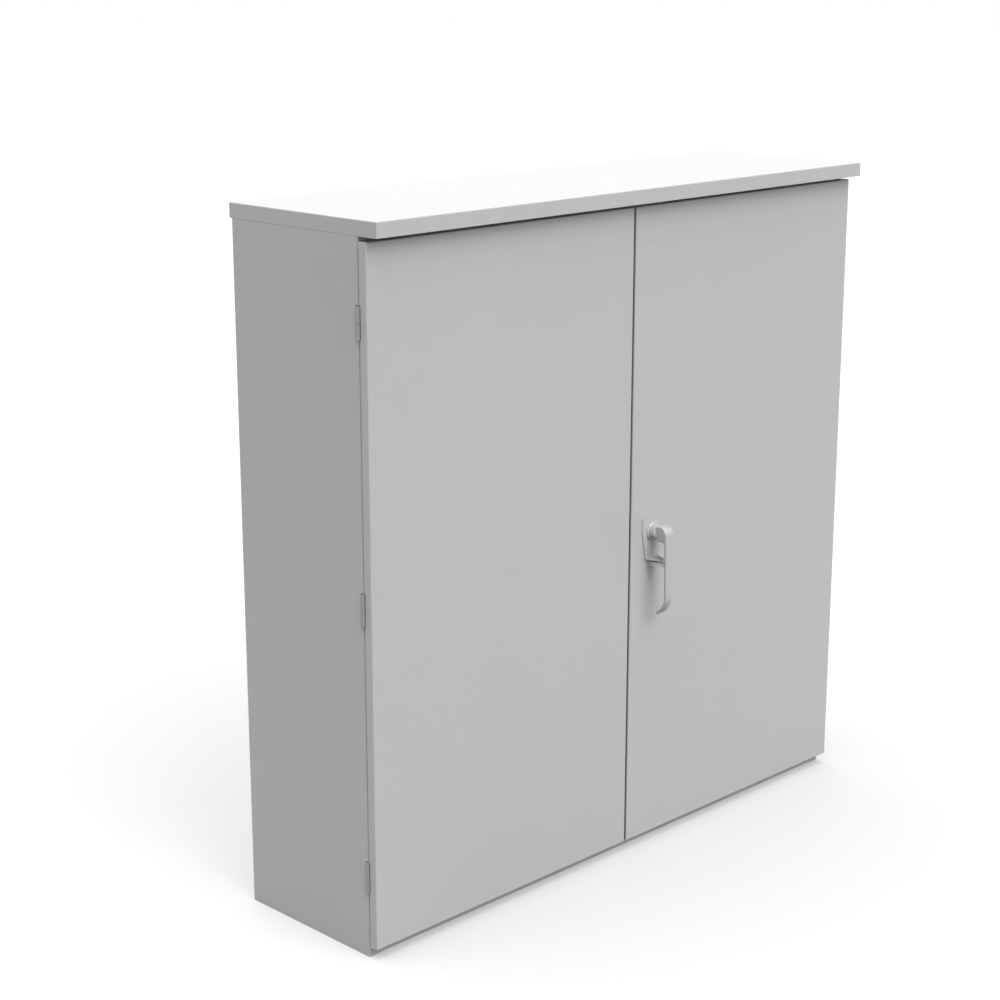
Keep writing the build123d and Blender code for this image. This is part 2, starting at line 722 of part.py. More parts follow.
def make_door_tray():
    """Right-hand door: a hemmed tray with relieved corners and notches for the hinges."""
    x_limits, z_limits = (MEETING_SIDE, SIDE), (DOOR_BOTTOM, DOOR_TOP)
    tray = block(x_limits, (DOOR_FACE, DOOR_BACK), z_limits)
    tray = fillet(tray.faces().sort_by(Axis.Y)[0].edges(), DOOR_BEND)
    tray -= block(
        (MEETING_SIDE + SHEET, SIDE - SHEET),
        (DOOR_INNER, DOOR_BACK - SHEET),
        (DOOR_BOTTOM + SHEET, DOOR_TOP - SHEET),
    )
    tray -= block(
        (MEETING_SIDE + DOOR_HEM, SIDE - DOOR_HEM),
        (DOOR_INNER, DOOR_BACK + OVERRUN),
        (DOOR_BOTTOM + DOOR_HEM, DOOR_TOP - DOOR_HEM),
    )
    relief = (DOOR_FACE + DOOR_BEND, DOOR_FACE + DOOR_BEND + CORNER_RELIEF)
    for x in x_limits:
        for z in z_limits:
            tray -= block(
                (x - CORNER_RELIEF, x + CORNER_RELIEF), relief, (z - CORNER_RELIEF, z + CORNER_RELIEF)
            )
    for height in HINGE_HEIGHTS:
        tray -= block(
            (NOTCH_INNER, SIDE + OVERRUN),
            (HINGE_Y - NOTCH_REACH, DOOR_BACK + OVERRUN),
            (height - NOTCH_HALF, height + NOTCH_HALF),
        )
    return tray


def make_stiffener():
    """Upright hat on the inside of the right-hand door."""
    section = hat(0, 0, STIFFENER_CROWN, STIFFENER_FOOT, STIFFENER_DEPTH, SHEET, STIFFENER_BEND)
    placed = Pos((MEETING_SIDE + SIDE) / 2, DOOR_INNER) * mirror(section, about=Plane.XZ)
    return slab_xy(placed, DOOR_BOTTOM + STIFFENER_END, DOOR_TOP - STIFFENER_END)


def make_door_seal():
    """Foam seal on the right-hand door, opposite the lips of the frame on three sides."""
    depth = (DOOR_INNER, FRONT - FRAME_LIP - SEAL_AIR)
    post = (LIP_INNER + LIP_OUTER) / 2
    low, high = SILL_HEIGHT - SHEET / 2, HEADER_LOW + SHEET / 2
    half = SEAL_WIDTH / 2
    seal = block((post - half, post + half), depth, (low - half, high + half))
    for height in (low, high):
        seal += block((MEETING_SIDE + SHEET, post), depth, (height - half, height + half))
    return seal


def make_meeting_seal():
    """Strip on the left door's free edge that fills the gap between the doors."""
    return block(
        (-MEETING_SIDE, MEETING_SIDE - MEETING_SEAL_AIR),
        (DOOR_FACE + MEETING_SEAL_INSET, DOOR_FACE + MEETING_SEAL_INSET + MEETING_SEAL_DEPTH),
        (DOOR_BOTTOM + MEETING_SEAL_END, DOOR_TOP - MEETING_SEAL_END),
    )


def bolt_parts(end):
    """Sliding bolt and its bent bracket at the top (1) or the bottom (-1) of the left door."""
    x = -MEETING_SIDE - BOLT_INSET
    y = FRONT + BASE_SHEET + BOLT_FRAME_AIR + BOLT_RADIUS
    edge = HEADER_LOW if end > 0 else SILL_HEIGHT
    near = edge - end * BOLT_BRACKET_DROP
    far = near - end * BOLT_BRACKET_HEIGHT
    tail = far - end * BOLT_TAIL
    knob = tail + end * BOLT_KNOB_END
    bolt = upright(BOLT_RADIUS, x, y, sorted((edge + end * BOLT_GRIP, tail)))
    bolt = chamfer(bolt.edges().filter_by(GeomType.CIRCLE), BOLT_NOSE)
    bolt += level(BOLT_KNOB_RADIUS, x, knob, (y, y + BOLT_KNOB_REACH))
    low, high = sorted((near, far))
    ear = y + BOLT_RADIUS + BOLT_BRACKET_WALL
    path = [(ear, low), (DOOR_INNER, low), (DOOR_INNER, high), (ear, high)]
    half = BOLT_BRACKET_WIDTH / 2
    bracket = slab_yz(folded(path, BOLT_BRACKET_SHEET, BOLT_BRACKET_BEND), x - half, x + half)
    corners = [line for line in bracket.edges().filter_by(Axis.Z) if line.center().Y > ear - TOUCH]
    bracket = fillet(corners, BOLT_BRACKET_CORNER)
    bracket -= upright(BOLT_RADIUS + RUNNING_CLEARANCE, x, y, (low - OVERRUN, high + OVERRUN))
    return bolt, bracket


def make_right_door():
    """Right-hand tray with the holes of the handle and the flush rivets, and two welded studs."""
    through = (DOOR_FACE - OVERRUN, DOOR_INNER + OVERRUN)
    door = make_door_tray()
    door -= level(JOURNAL_RADIUS, HANDLE_X, DOOR_MIDDLE, through)
    for x, z in handle_screw_places():
        door -= level(HANDLE_SCREW_RADIUS + SCREW_CLEARANCE, x, z, through)
    for side in (-1, 1):
        door -= guide_rivet(side, DOOR_FACE - OVERRUN, SCREW_CLEARANCE)
    stud = (DOOR_INNER, DOOR_INNER + HOUSING_STUD_LENGTH)
    for end in (-1, 1):
        door += level(HOUSING_STUD_RADIUS, HANDLE_X, housing_stud_height(end), stud)
    return door


def handle_screw_places():
    """Screws that hold the handle plate from inside the door."""
    upper = DOOR_MIDDLE + HANDLE_SCREW_RISE
    return [
        (HANDLE_X - HANDLE_SCREW_SIDE, upper),
        (HANDLE_X + HANDLE_SCREW_SIDE, upper),
        (HANDLE_X, DOOR_MIDDLE - HANDLE_SCREW_DROP),
    ]


def housing_stud_height(end):
    """Height of the lock housing's stud above (1) or below (-1) the handle."""
    return DOOR_MIDDLE + end * (HOUSING_RISE + HOUSING_EAR / 2)


def guide_rivet(side, face, clearance):
    """Flush rivet of the upper rod guide from its face inwards, or with a clearance its hole."""
    x, z = HANDLE_X + side * GUIDE_RIVET_SIDE, DOOR_MIDDLE + GUIDE_HEIGHT
    head = level(GUIDE_RIVET_HEAD + clearance, x, z, (face, DOOR_INNER))
    return head + level(GUIDE_RIVET_RADIUS + clearance, x, z, (face, DOOR_INNER + GUIDE_RIVET_DEPTH))


def make_guide_rivets():
    """Pair of flush rivets, set a little below the door's face."""
    face = DOOR_FACE + GUIDE_RIVET_SINK
    return Compound(children=[guide_rivet(side, face, 0) for side in (-1, 1)])


def make_handle_plate():
    """Plate that narrows downwards and folds out into a rounded shelf with the padlock hole."""
    corners = [(-PLATE_HALF, PLATE_RISE), (PLATE_HALF, PLATE_RISE)]
    feet = [(PLATE_FOOT_HALF, -PLATE_DROP), (-PLATE_FOOT_HALF, -PLATE_DROP)]
    front = outline(corners + [(PLATE_HALF, 0)] + feet + [(-PLATE_HALF, 0)])
    front = rounded(front, corners, HANDLE_CORNER)
    plate = slab_xz(Pos(HANDLE_X, DOOR_MIDDLE) * front, DOOR_FACE - HANDLE_SHEET, DOOR_FACE)
    hole_y = DOOR_FACE - PADLOCK_OUT
    tongue = make_hull(
        [
            *Line((HANDLE_X - PLATE_FOOT_HALF, DOOR_FACE), (HANDLE_X + PLATE_FOOT_HALF, DOOR_FACE)).edges(),
            *(Pos(HANDLE_X, hole_y) * Circle(SHELF_END_RADIUS)).edges(),
        ]
    )
    under = DOOR_MIDDLE - PLATE_DROP
    plate += slab_xy(tongue, under, under + HANDLE_SHEET)
    plate = fillet(edge_along_x(plate, DOOR_FACE, under), HANDLE_BEND)
    inside = edge_along_x(plate, DOOR_FACE - HANDLE_SHEET, under + HANDLE_SHEET)
    plate = fillet(inside, HANDLE_BEND - HANDLE_SHEET)
    fold = under + HANDLE_BEND + TOUCH
    face = [line for line in plate.edges() if abs(line.center().Y - DOOR_FACE + HANDLE_SHEET) < TOUCH]
    plate = fillet([line for line in face if line.center().Z > fold], HANDLE_EDGE)
    plate -= upright(PADLOCK_RADIUS, HANDLE_X, hole_y, (under - OVERRUN, under + HANDLE_SHEET + OVERRUN))
    through = (DOOR_FACE - HANDLE_SHEET - OVERRUN, DOOR_FACE + OVERRUN)
    plate -= level(JOURNAL_RADIUS, HANDLE_X, DOOR_MIDDLE, through)
    tapped = (DOOR_FACE - HANDLE_SCREW_DEPTH, DOOR_FACE)
    for x, z in handle_screw_places():
        plate -= level(HANDLE_SCREW_RADIUS + SCREW_CLEARANCE, x, z, tapped)
    return plate


def edge_along_x(piece, y, z):
    """Straight edges along X at the given Y and Z."""
    return [
        edge
        for edge in piece.edges().filter_by(Axis.X)
        if math.hypot(edge.center().Y - y, edge.center().Z - z) < TOUCH
    ]


def make_handle_screws():
    """Pan-head screws of the handle plate."""
    screws = []
    for x, z in handle_screw_places():
        head = level(HANDLE_SCREW_HEAD, x, z, (DOOR_INNER, DOOR_INNER + HANDLE_SCREW_HEAD_HEIGHT))
        screws.append(head + level(HANDLE_SCREW_RADIUS, x, z, (DOOR_FACE - HANDLE_SCREW_DEPTH, DOOR_INNER)))
    return Compound(children=screws)


def make_handle_collar():
    """Turned collar on the plate, in which the lever's journal turns."""
    base = DOOR_FACE - HANDLE_SHEET
    collar = level(COLLAR_RADIUS, HANDLE_X, DOOR_MIDDLE, (base - COLLAR_HEIGHT, base))
    collar = fillet(collar.faces().sort_by(Axis.Y)[0].edges(), COLLAR_ROUND)
    bore = (base - COLLAR_HEIGHT - OVERRUN, base + OVERRUN)
    return collar - level(JOURNAL_RADIUS + RUNNING_CLEARANCE, HANDLE_X, DOOR_MIDDLE, bore)


def lever_side_outline():
    """Lever from the side: head, strap and curled end, as distance from the door and height."""
    out, low = LEVER_HEIGHT, LEVER_HEIGHT - STRAP_THICKNESS
    curl_out = out - CURL_RADIUS
    curl_low = -LEVER_REACH + CURL_RADIUS
    inner = CURL_RADIUS - STRAP_THICKNESS
    angle = math.radians(CURL_ANGLE)
    half = angle / 2

    def on_curl(radius, turn):
        return (curl_out + radius * math.cos(turn), curl_low - radius * math.sin(turn))

    bay = HEAD_FILLET * (1 - math.sqrt(1 / 2))
    nose = HEAD_LOW + NOSE_FLAT
    lines = [
        Line((HEAD_LOW, HEAD_RISE), (nose, HEAD_RISE)),
        EllipticalCenterArc((nose, 0), out - nose, HEAD_RISE, arc_size=90),
        Line((out, 0), (out, curl_low)),
        ThreePointArc((out, curl_low), on_curl(CURL_RADIUS, half), on_curl(CURL_RADIUS, angle)),
        Line(on_curl(CURL_RADIUS, angle), on_curl(inner, angle)),
        ThreePointArc(on_curl(inner, angle), on_curl(inner, half), (low, curl_low)),
        Line((low, curl_low), (low, -HEAD_DROP - HEAD_FILLET)),
        ThreePointArc(
            (low, -HEAD_DROP - HEAD_FILLET), (low - bay, -HEAD_DROP - bay), (low - HEAD_FILLET, -HEAD_DROP)
        ),
        Line((low - HEAD_FILLET, -HEAD_DROP), (HEAD_LOW, -HEAD_DROP)),
        Line((HEAD_LOW, -HEAD_DROP), (HEAD_LOW, HEAD_RISE)),
    ]
    return make_face(lines)


def lever_front_outline():
    """Lever from the front: it narrows from the head to a rounded end."""
    tail = -LEVER_REACH + CURL_RADIUS * (1 - math.sin(math.radians(CURL_ANGLE)))
    head = HEAD_RISE + OVERRUN
    ends = [(STRAP_END_HALF, tail), (-STRAP_END_HALF, tail)]
    strap = outline([(-HEAD_HALF, head), (HEAD_HALF, head)] + ends)
    return rounded(strap, ends, STRAP_END_CORNER)


def make_handle_lever():
    """Cast lever with a hub, a journal in the collar and a square socket for the spindle."""
    profile = mirror(lever_side_outline(), about=Plane.YZ)
    reach = HEAD_HALF + OVERRUN
    lever = slab_yz(Pos(DOOR_FACE, DOOR_MIDDLE) * profile, HANDLE_X - reach, HANDLE_X + reach)
    front = Pos(HANDLE_X, DOOR_MIDDLE) * lever_front_outline()
    lever = lever & slab_xz(front, DOOR_FACE - LEVER_HEIGHT - OVERRUN, DOOR_FACE)
    long_edges = [line for line in lever.edges().filter_by(GeomType.LINE) if line.length > LEVER_REACH / 2]
    lever = fillet(long_edges, LEVER_EDGE)
    hub_low = HANDLE_SHEET + COLLAR_HEIGHT + LEVER_AIR
    hub = level(HUB_RADIUS, HANDLE_X, DOOR_MIDDLE, (DOOR_FACE - HEAD_LOW, DOOR_FACE - hub_low))
    lever += chamfer(hub.faces().sort_by(Axis.Y)[0].edges(), HUB_CHAMFER)
    lever += level(JOURNAL_RADIUS, HANDLE_X, DOOR_MIDDLE, (DOOR_FACE - HEAD_LOW, DOOR_FACE - HANDLE_SHEET))
    half = SPINDLE_SIDE / 2 + RUNNING_CLEARANCE
    return lever - block(
        (HANDLE_X - half, HANDLE_X + half),
        (DOOR_FACE - HANDLE_SHEET - SOCKET_DEPTH, DOOR_FACE),
        (DOOR_MIDDLE - half, DOOR_MIDDLE + half),
    )


def make_padlock_lug():
    """Rounded lug on the back of the strap, with the hole that lines up with the shelf's."""
    strap = DOOR_FACE - LEVER_HEIGHT + STRAP_THICKNESS
    hole_y = DOOR_FACE - PADLOCK_OUT
    high = DOOR_MIDDLE - PLATE_DROP - LUG_GAP
    low = high - LUG_THICKNESS
    tongue = make_hull(
        [
            *Line((HANDLE_X - STRAP_END_HALF, strap), (HANDLE_X + STRAP_END_HALF, strap)).edges(),
            *(Pos(HANDLE_X, hole_y) * Circle(LUG_RADIUS)).edges(),
        ]
    )
    through = (low - OVERRUN, high + OVERRUN)
    return slab_xy(tongue, low, high) - upright(PADLOCK_RADIUS, HANDLE_X, hole_y, through)


def make_spindle():
    """Square spindle from the lever to the pinion, tapped at its inner end."""
    half = SPINDLE_SIDE / 2
    spindle = block(
        (HANDLE_X - half, HANDLE_X + half),
        (DOOR_FACE - SPINDLE_REACH, COVER_BACK),
        (DOOR_MIDDLE - half, DOOR_MIDDLE + half),
    )
    tapped = (COVER_BACK - SPINDLE_SCREW_DEPTH - OVERRUN, COVER_BACK + OVERRUN)
    return spindle - level(SPINDLE_SCREW_RADIUS + RUNNING_CLEARANCE, HANDLE_X, DOOR_MIDDLE, tapped)


def make_spindle_screw():
    """Flanged screw that keeps the spindle in the lock."""
    seat = COVER_BACK + LEVER_AIR
    head = level(SPINDLE_SCREW_HEAD, HANDLE_X, DOOR_MIDDLE, (seat, COVER_BACK + SPINDLE_SCREW_HEAD_HEIGHT))
    return head + level(SPINDLE_SCREW_RADIUS, HANDLE_X, DOOR_MIDDLE, (COVER_BACK - SPINDLE_SCREW_DEPTH, seat))


def pinion_outline():
    """Involute pinion with a tooth on each side of the axis."""
    base = PITCH_RADIUS * math.cos(math.radians(PRESSURE_ANGLE))
    root = PITCH_RADIUS - DEDENDUM_SHARE * TOOTH_MODULE
    tip = PITCH_RADIUS + ADDENDUM_SHARE * TOOTH_MODULE

    def spread(radius):
        roll = math.sqrt(max((radius / base) ** 2 - 1, 0))
        return roll - math.atan(roll)

    half = (TOOTH_PITCH / 2 - BACKLASH) / 2 / PITCH_RADIUS + spread(PITCH_RADIUS)
    radii = [base + (tip - base) * step / FLANK_STEPS for step in range(FLANK_STEPS + 1)]
    flank = [(root, half)] + [(radius, half - spread(radius)) for radius in radii]
    points = []
    for tooth in range(TOOTH_COUNT):
        middle = 2 * math.pi * tooth / TOOTH_COUNT
        turns = [(radius, middle - turn) for radius, turn in flank]
        turns += [(radius, middle + turn) for radius, turn in flank[::-1]]
        points += [(radius * math.cos(turn), radius * math.sin(turn)) for radius, turn in turns]
    return outline(points)


def make_pinion():
    """Pinion with a journal on each side and a square bore."""
    pinion = slab_xz(Pos(HANDLE_X, DOOR_MIDDLE) * pinion_outline(), ROD_FRONT, ROD_BACK)
    pinion += level(PINION_JOURNAL, HANDLE_X, DOOR_MIDDLE, (POCKET_FLOOR - HOUSING_WALL, COVER_BACK))
    half = SPINDLE_SIDE / 2 + RUNNING_CLEARANCE
    return pinion - block(
        (HANDLE_X - half, HANDLE_X + half),
        (POCKET_FLOOR - HOUSING_WALL - OVERRUN, COVER_BACK + OVERRUN),
        (DOOR_MIDDLE - half, DOOR_MIDDLE + half),
    )


def make_lock_rod():
    """Upper lock rod: a flat bar, a bridge and an arm with rack teeth, drawn about the handle's axis."""
    slope = math.tan(math.radians(PRESSURE_ANGLE))
    pitch_half = (TOOTH_PITCH / 2 - BACKLASH) / 2
    root_half = pitch_half + DEDENDUM_SHARE * TOOTH_MODULE * slope
    tip_half = pitch_half - ADDENDUM_SHARE * TOOTH_MODULE * slope
    depth = (ROD_FRONT, ROD_BACK)
    rod = block((-ROD_HALF, ROD_HALF), depth, (BRIDGE_RISE, ROD_REACH))
    rod += block((-RACK_OUTER, ROD_HALF), depth, (BRIDGE_RISE, BRIDGE_RISE + BRIDGE_HEIGHT))
    rod += block((-RACK_OUTER, -RACK_ROOT), depth, (-RACK_END, BRIDGE_RISE + BRIDGE_HEIGHT))
    for tooth in range(-RACK_TEETH_BELOW, RACK_TEETH_ABOVE):
        z = (tooth + 1 / 2) * TOOTH_PITCH
        shape = [
            (-RACK_OUTER, z - root_half),
            (-RACK_ROOT, z - root_half),
            (-RACK_TIP, z - tip_half),
            (-RACK_TIP, z + tip_half),
            (-RACK_ROOT, z + root_half),
            (-RACK_OUTER, z + root_half),
        ]
        rod += slab_xz(outline(shape), *depth)
    tip = rod.faces().sort_by(Axis.Z)[-1].edges().filter_by(Axis.X)
    return chamfer(tip.sort_by(Axis.Y)[0], ROD_LEAD)


def make_lock_housing():
    """Cast housing on the door with a pocket for the racks and an ear above and below."""
    x_limits = (HANDLE_X - HOUSING_HALF, HANDLE_X + HOUSING_HALF)
    low, high = DOOR_MIDDLE - HOUSING_RISE, DOOR_MIDDLE + HOUSING_RISE
    housing = block(x_limits, (DOOR_INNER, COVER_FRONT), (low, high))
    housing = fillet(housing.edges().filter_by(Axis.Y), HOUSING_CORNER)
    housing -= block(
        (HANDLE_X - RACK_OUTER - ROD_AIR, HANDLE_X + RACK_OUTER + ROD_AIR),
        (POCKET_FLOOR, COVER_FRONT + OVERRUN),
        (low - OVERRUN, high + OVERRUN),
    )
    housing -= block(
        (x_limits[0] + HOUSING_WALL, x_limits[1] - HOUSING_WALL),
        (DOOR_INNER - OVERRUN, POCKET_FLOOR - HOUSING_WALL),
        (low + HOUSING_WALL, high - HOUSING_WALL),
    )
    ear = RectangleRounded(2 * HOUSING_EAR_HALF, 2 * (HOUSING_RISE + HOUSING_EAR), HOUSING_EAR_HALF / 2)
    ears = slab_xz(Pos(HANDLE_X, DOOR_MIDDLE) * ear, DOOR_INNER, DOOR_INNER + HOUSING_WALL)
    ears -= block(x_limits, (DOOR_INNER - OVERRUN, COVER_FRONT), (low, high))
    housing += ears
    for end in (-1, 1):
        housing -= level(
            HOUSING_STUD_RADIUS + SCREW_CLEARANCE,
            HANDLE_X,
            housing_stud_height(end),
            (DOOR_INNER - OVERRUN, DOOR_INNER + HOUSING_WALL + OVERRUN),
        )
    housing -= level(
        PINION_JOURNAL + RUNNING_CLEARANCE,
        HANDLE_X,
        DOOR_MIDDLE,
        (POCKET_FLOOR - HOUSING_WALL - OVERRUN, POCKET_FLOOR + OVERRUN),
    )
    tapped = (COVER_FRONT - COVER_SCREW_DEPTH, COVER_FRONT)
    for x, z in cover_screw_places():
        housing -= level(COVER_SCREW_RADIUS + RUNNING_CLEARANCE, x, z, tapped)
    return housing


def cover_screw_places():
    """Screws at the corners of the lock cover."""
    return [
        (HANDLE_X + side * COVER_SCREW_SIDE, DOOR_MIDDLE + end * COVER_SCREW_RISE)
        for side in (-1, 1)
        for end in (-1, 1)
    ]


def make_lock_cover():
    """Cover plate of the lock, with the pinion's rear bearing."""
    cover = block(
        (HANDLE_X - HOUSING_HALF, HANDLE_X + HOUSING_HALF),
        (COVER_FRONT, COVER_BACK),
        (DOOR_MIDDLE - HOUSING_RISE, DOOR_MIDDLE + HOUSING_RISE),
    )
    cover = fillet(cover.edges().filter_by(Axis.Y), HOUSING_CORNER)
    through = (COVER_FRONT - OVERRUN, COVER_BACK + OVERRUN)
    cover -= level(PINION_JOURNAL + RUNNING_CLEARANCE, HANDLE_X, DOOR_MIDDLE, through)
    for x, z in cover_screw_places():
        cover -= level(COVER_SCREW_RADIUS + SCREW_CLEARANCE, x, z, through)
    return cover


def make_cover_screws():
    """Screws of the lock cover."""
    screws = []
    for x, z in cover_screw_places():
        head = level(COVER_SCREW_HEAD, x, z, (COVER_BACK, COVER_BACK + COVER_SCREW_HEAD_HEIGHT))
        screws.append(head + level(COVER_SCREW_RADIUS, x, z, (COVER_FRONT - COVER_SCREW_DEPTH, COVER_BACK)))
    return Compound(children=screws)


def make_housing_nuts():
    """Nuts on the door's studs that hold the lock housing."""
    seat = DOOR_INNER + HOUSING_WALL
    nuts = []
    for end in (-1, 1):
        z = housing_stud_height(end)
        nut = hex_level(HOUSING_NUT_RADIUS, HANDLE_X, z, (seat, seat + HOUSING_NUT_HEIGHT))
        bore = (seat - OVERRUN, seat + HOUSING_NUT_HEIGHT + OVERRUN)
        nuts.append(nut - level(HOUSING_STUD_RADIUS + RUNNING_CLEARANCE, HANDLE_X, z, bore))
    return Compound(children=nuts)


def make_rod_guide(end):
    """Moulded guide that a lock rod slides through, above (1) or below (-1) the handle."""
    z = DOOR_MIDDLE + end * GUIDE_HEIGHT
    body, back = ROD_HALF + ROD_AIR + GUIDE_WALL, ROD_BACK + ROD_AIR + GUIDE_WALL
    step = DOOR_INNER + GUIDE_FOOT
    right = [(GUIDE_HALF, DOOR_INNER), (GUIDE_HALF, step), (body, step), (body, back)]
    left = [(-x, y) for x, y in right[::-1]]
    section = rounded(outline(right + left), [(GUIDE_HALF, step), (-GUIDE_HALF, step)], GUIDE_CORNER)
    section = rounded(section, [(body, step), (-body, step), (body, back), (-body, back)], GUIDE_CORNER)
    guide = slab_xy(Pos(HANDLE_X, 0) * section, z - GUIDE_RISE, z + GUIDE_RISE)
    guide -= block(
        (HANDLE_X - ROD_HALF - ROD_AIR, HANDLE_X + ROD_HALF + ROD_AIR),
        (ROD_FRONT - ROD_AIR, ROD_BACK + ROD_AIR),
        (z - GUIDE_RISE - OVERRUN, z + GUIDE_RISE + OVERRUN),
    )
    if end > 0:
        for side in (-1, 1):
            guide -= guide_rivet(side, DOOR_FACE, RUNNING_CLEARANCE)
    return guide


side_panel = make_side_panel()
side_rail = make_side_rail()
door_seal = make_door_seal()
stiffener = make_stiffener()
hinge_pins = make_hinge_pins()
hinge_frame_halves = Compound(children=[hinge_frame_half(height) for height in HINGE_HEIGHTS])
hinge_door_halves = Compound(children=[hinge_door_half(height) for height in HINGE_HEIGHTS])
top_bolt, top_bracket = bolt_parts(1)
bottom_bolt, bottom_bracket = bolt_parts(-1)
lock_rod = make_lock_rod()
lock_axis = Pos(HANDLE_X, 0, DOOR_MIDDLE)

nodes = {
    "left_side_panel": mirrored(side_panel),
    "right_side_panel": side_panel,
    "back_panel": make_back_panel(),
    "back_rivets": make_back_rivets(),
    "top_panel": make_top_panel(),
    "roof": make_roof(),
    "roof_bearer_front": make_roof_bearer(-1),
    "roof_bearer_back": make_roof_bearer(1),
    "roof_nuts": make_roof_nuts(),
    "front_sill": make_front_sill(),
    "rear_base_rail": make_rear_rail(),
    "left_base_rail": mirrored(side_rail),
    "right_base_rail": side_rail,
    "mounting_rail_left": make_mounting_rail(-1),
    "mounting_rail_right": make_mounting_rail(1),
    "mounting_plate": make_mounting_plate(),
    "mounting_plate_screws": make_plate_screws(),
    "cable_rail": make_cable_rail(),
    "cable_rail_bolts": make_cable_bolts(),
    "earth_bar": make_earth_bar(),
    "earth_bar_posts": make_earth_posts(),
    "earth_bar_screws": make_earth_screws(),
    "left_hinge_frame_halves": mirrored(hinge_frame_halves),
    "right_hinge_frame_halves": hinge_frame_halves,
    "left_hinge_door_halves": mirrored(hinge_door_halves),
    "right_hinge_door_halves": hinge_door_halves,
    "left_hinge_pins": mirrored(hinge_pins),
    "right_hinge_pins": hinge_pins,
    "left_door_panel": mirrored(make_door_tray()),
    "left_door_stiffener": mirrored(stiffener),
    "left_door_seal": mirrored(door_seal),
    "meeting_seal": make_meeting_seal(),
    "left_top_bolt": top_bolt,
    "left_top_bolt_bracket": top_bracket,
    "left_bottom_bolt": bottom_bolt,
    "left_bottom_bolt_bracket": bottom_bracket,
    "right_door_panel": make_right_door(),
    "right_door_stiffener": stiffener,
    "right_door_seal": door_seal,
    "handle_plate": make_handle_plate(),
    "handle_plate_screws": make_handle_screws(),
    "handle_collar": make_handle_collar(),
    "handle_lever": make_handle_lever(),
    "padlock_lug": make_padlock_lug(),
    "spindle": make_spindle(),
    "spindle_screw": make_spindle_screw(),
    "lock_pinion": make_pinion(),
    "lock_housing": make_lock_housing(),
    "lock_housing_nuts": make_housing_nuts(),
    "lock_cover": make_lock_cover(),
    "lock_cover_screws": make_cover_screws(),
    "upper_rod": lock_axis * lock_rod,
    "lower_rod": lock_axis * Rot(0, 180, 0) * lock_rod,
    "upper_rod_guide": make_rod_guide(1),
    "lower_rod_guide": make_rod_guide(-1),
    "guide_rivets": make_guide_rivets(),
}
os.makedirs("parts", exist_ok=True)
for name, shape in nodes.items():
    export_step(shape, f"parts/{name}.step")
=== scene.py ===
"""Looks of the roadside utility cabinet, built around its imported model. Lengths are in metres."""

import math

import bmesh
import bpy
from mathutils import Matrix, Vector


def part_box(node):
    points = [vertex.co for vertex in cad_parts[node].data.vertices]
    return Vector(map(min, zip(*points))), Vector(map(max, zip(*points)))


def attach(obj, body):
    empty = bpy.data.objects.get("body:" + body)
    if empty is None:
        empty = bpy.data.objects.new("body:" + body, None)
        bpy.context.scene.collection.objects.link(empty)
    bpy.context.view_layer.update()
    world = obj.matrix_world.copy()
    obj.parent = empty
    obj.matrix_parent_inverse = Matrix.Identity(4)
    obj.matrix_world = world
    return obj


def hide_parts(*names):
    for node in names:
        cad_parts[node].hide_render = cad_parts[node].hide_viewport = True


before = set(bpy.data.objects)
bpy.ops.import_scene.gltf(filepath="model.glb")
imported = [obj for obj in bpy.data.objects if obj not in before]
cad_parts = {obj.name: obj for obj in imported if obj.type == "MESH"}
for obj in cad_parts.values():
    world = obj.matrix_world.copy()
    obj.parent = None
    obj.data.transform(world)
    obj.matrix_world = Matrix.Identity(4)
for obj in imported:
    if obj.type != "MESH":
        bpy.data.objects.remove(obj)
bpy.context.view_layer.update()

# Base rails
# Two channels along the sides and one along the back, rolled from hot-dip galvanised steel. They stand
# on the plinth, take the four anchor bolts and are left unpainted, because the body hides them.
MM = 0.001


def linear(hex_colour):
    """Linear colour of an sRGB hex value."""
    channels = [int(hex_colour[place:place + 2], 16) / 255 for place in (1, 3, 5)]
    return [c / 12.92 if c <= 0.04045 else ((c + 0.055) / 1.055) ** 2.4 for c in channels] + [1.0]


def add(tree, kind, inputs, **settings):
    """New node: settings are its properties, inputs are values or the sockets that feed it."""
    made = tree.nodes.new(kind)
    for name, value in settings.items():
        setattr(made, name, value)
    for name, value in inputs.items():
        if isinstance(value, bpy.types.NodeSocket):
            tree.links.new(value, made.inputs[name])
        else:
            made.inputs[name].default_value = value
    return made


def start_material(name):
    """Empty material, with its node tree and the Object coordinates that its patterns read."""
    material = bpy.data.materials.new(name)
    material.use_nodes = True
    tree = material.node_tree
    tree.nodes.clear()
    return material, tree, add(tree, "ShaderNodeTexCoord", {}).outputs["Object"]


def close_material(tree, inputs):
    """Principled shader with the given inputs, joined to the output."""
    shader = add(tree, "ShaderNodeBsdfPrincipled", inputs)
    add(tree, "ShaderNodeOutputMaterial", {"Surface": shader.outputs["BSDF"]})


def per_size(size_mm):
    """Texture scale at which one cell of the pattern measures this many millimetres."""
    return 1 / (size_mm * MM)


def dress(material, *names):
    """Give CAD nodes their finish."""
    for name in names:
        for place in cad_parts[name].material_slots:
            place.material = material


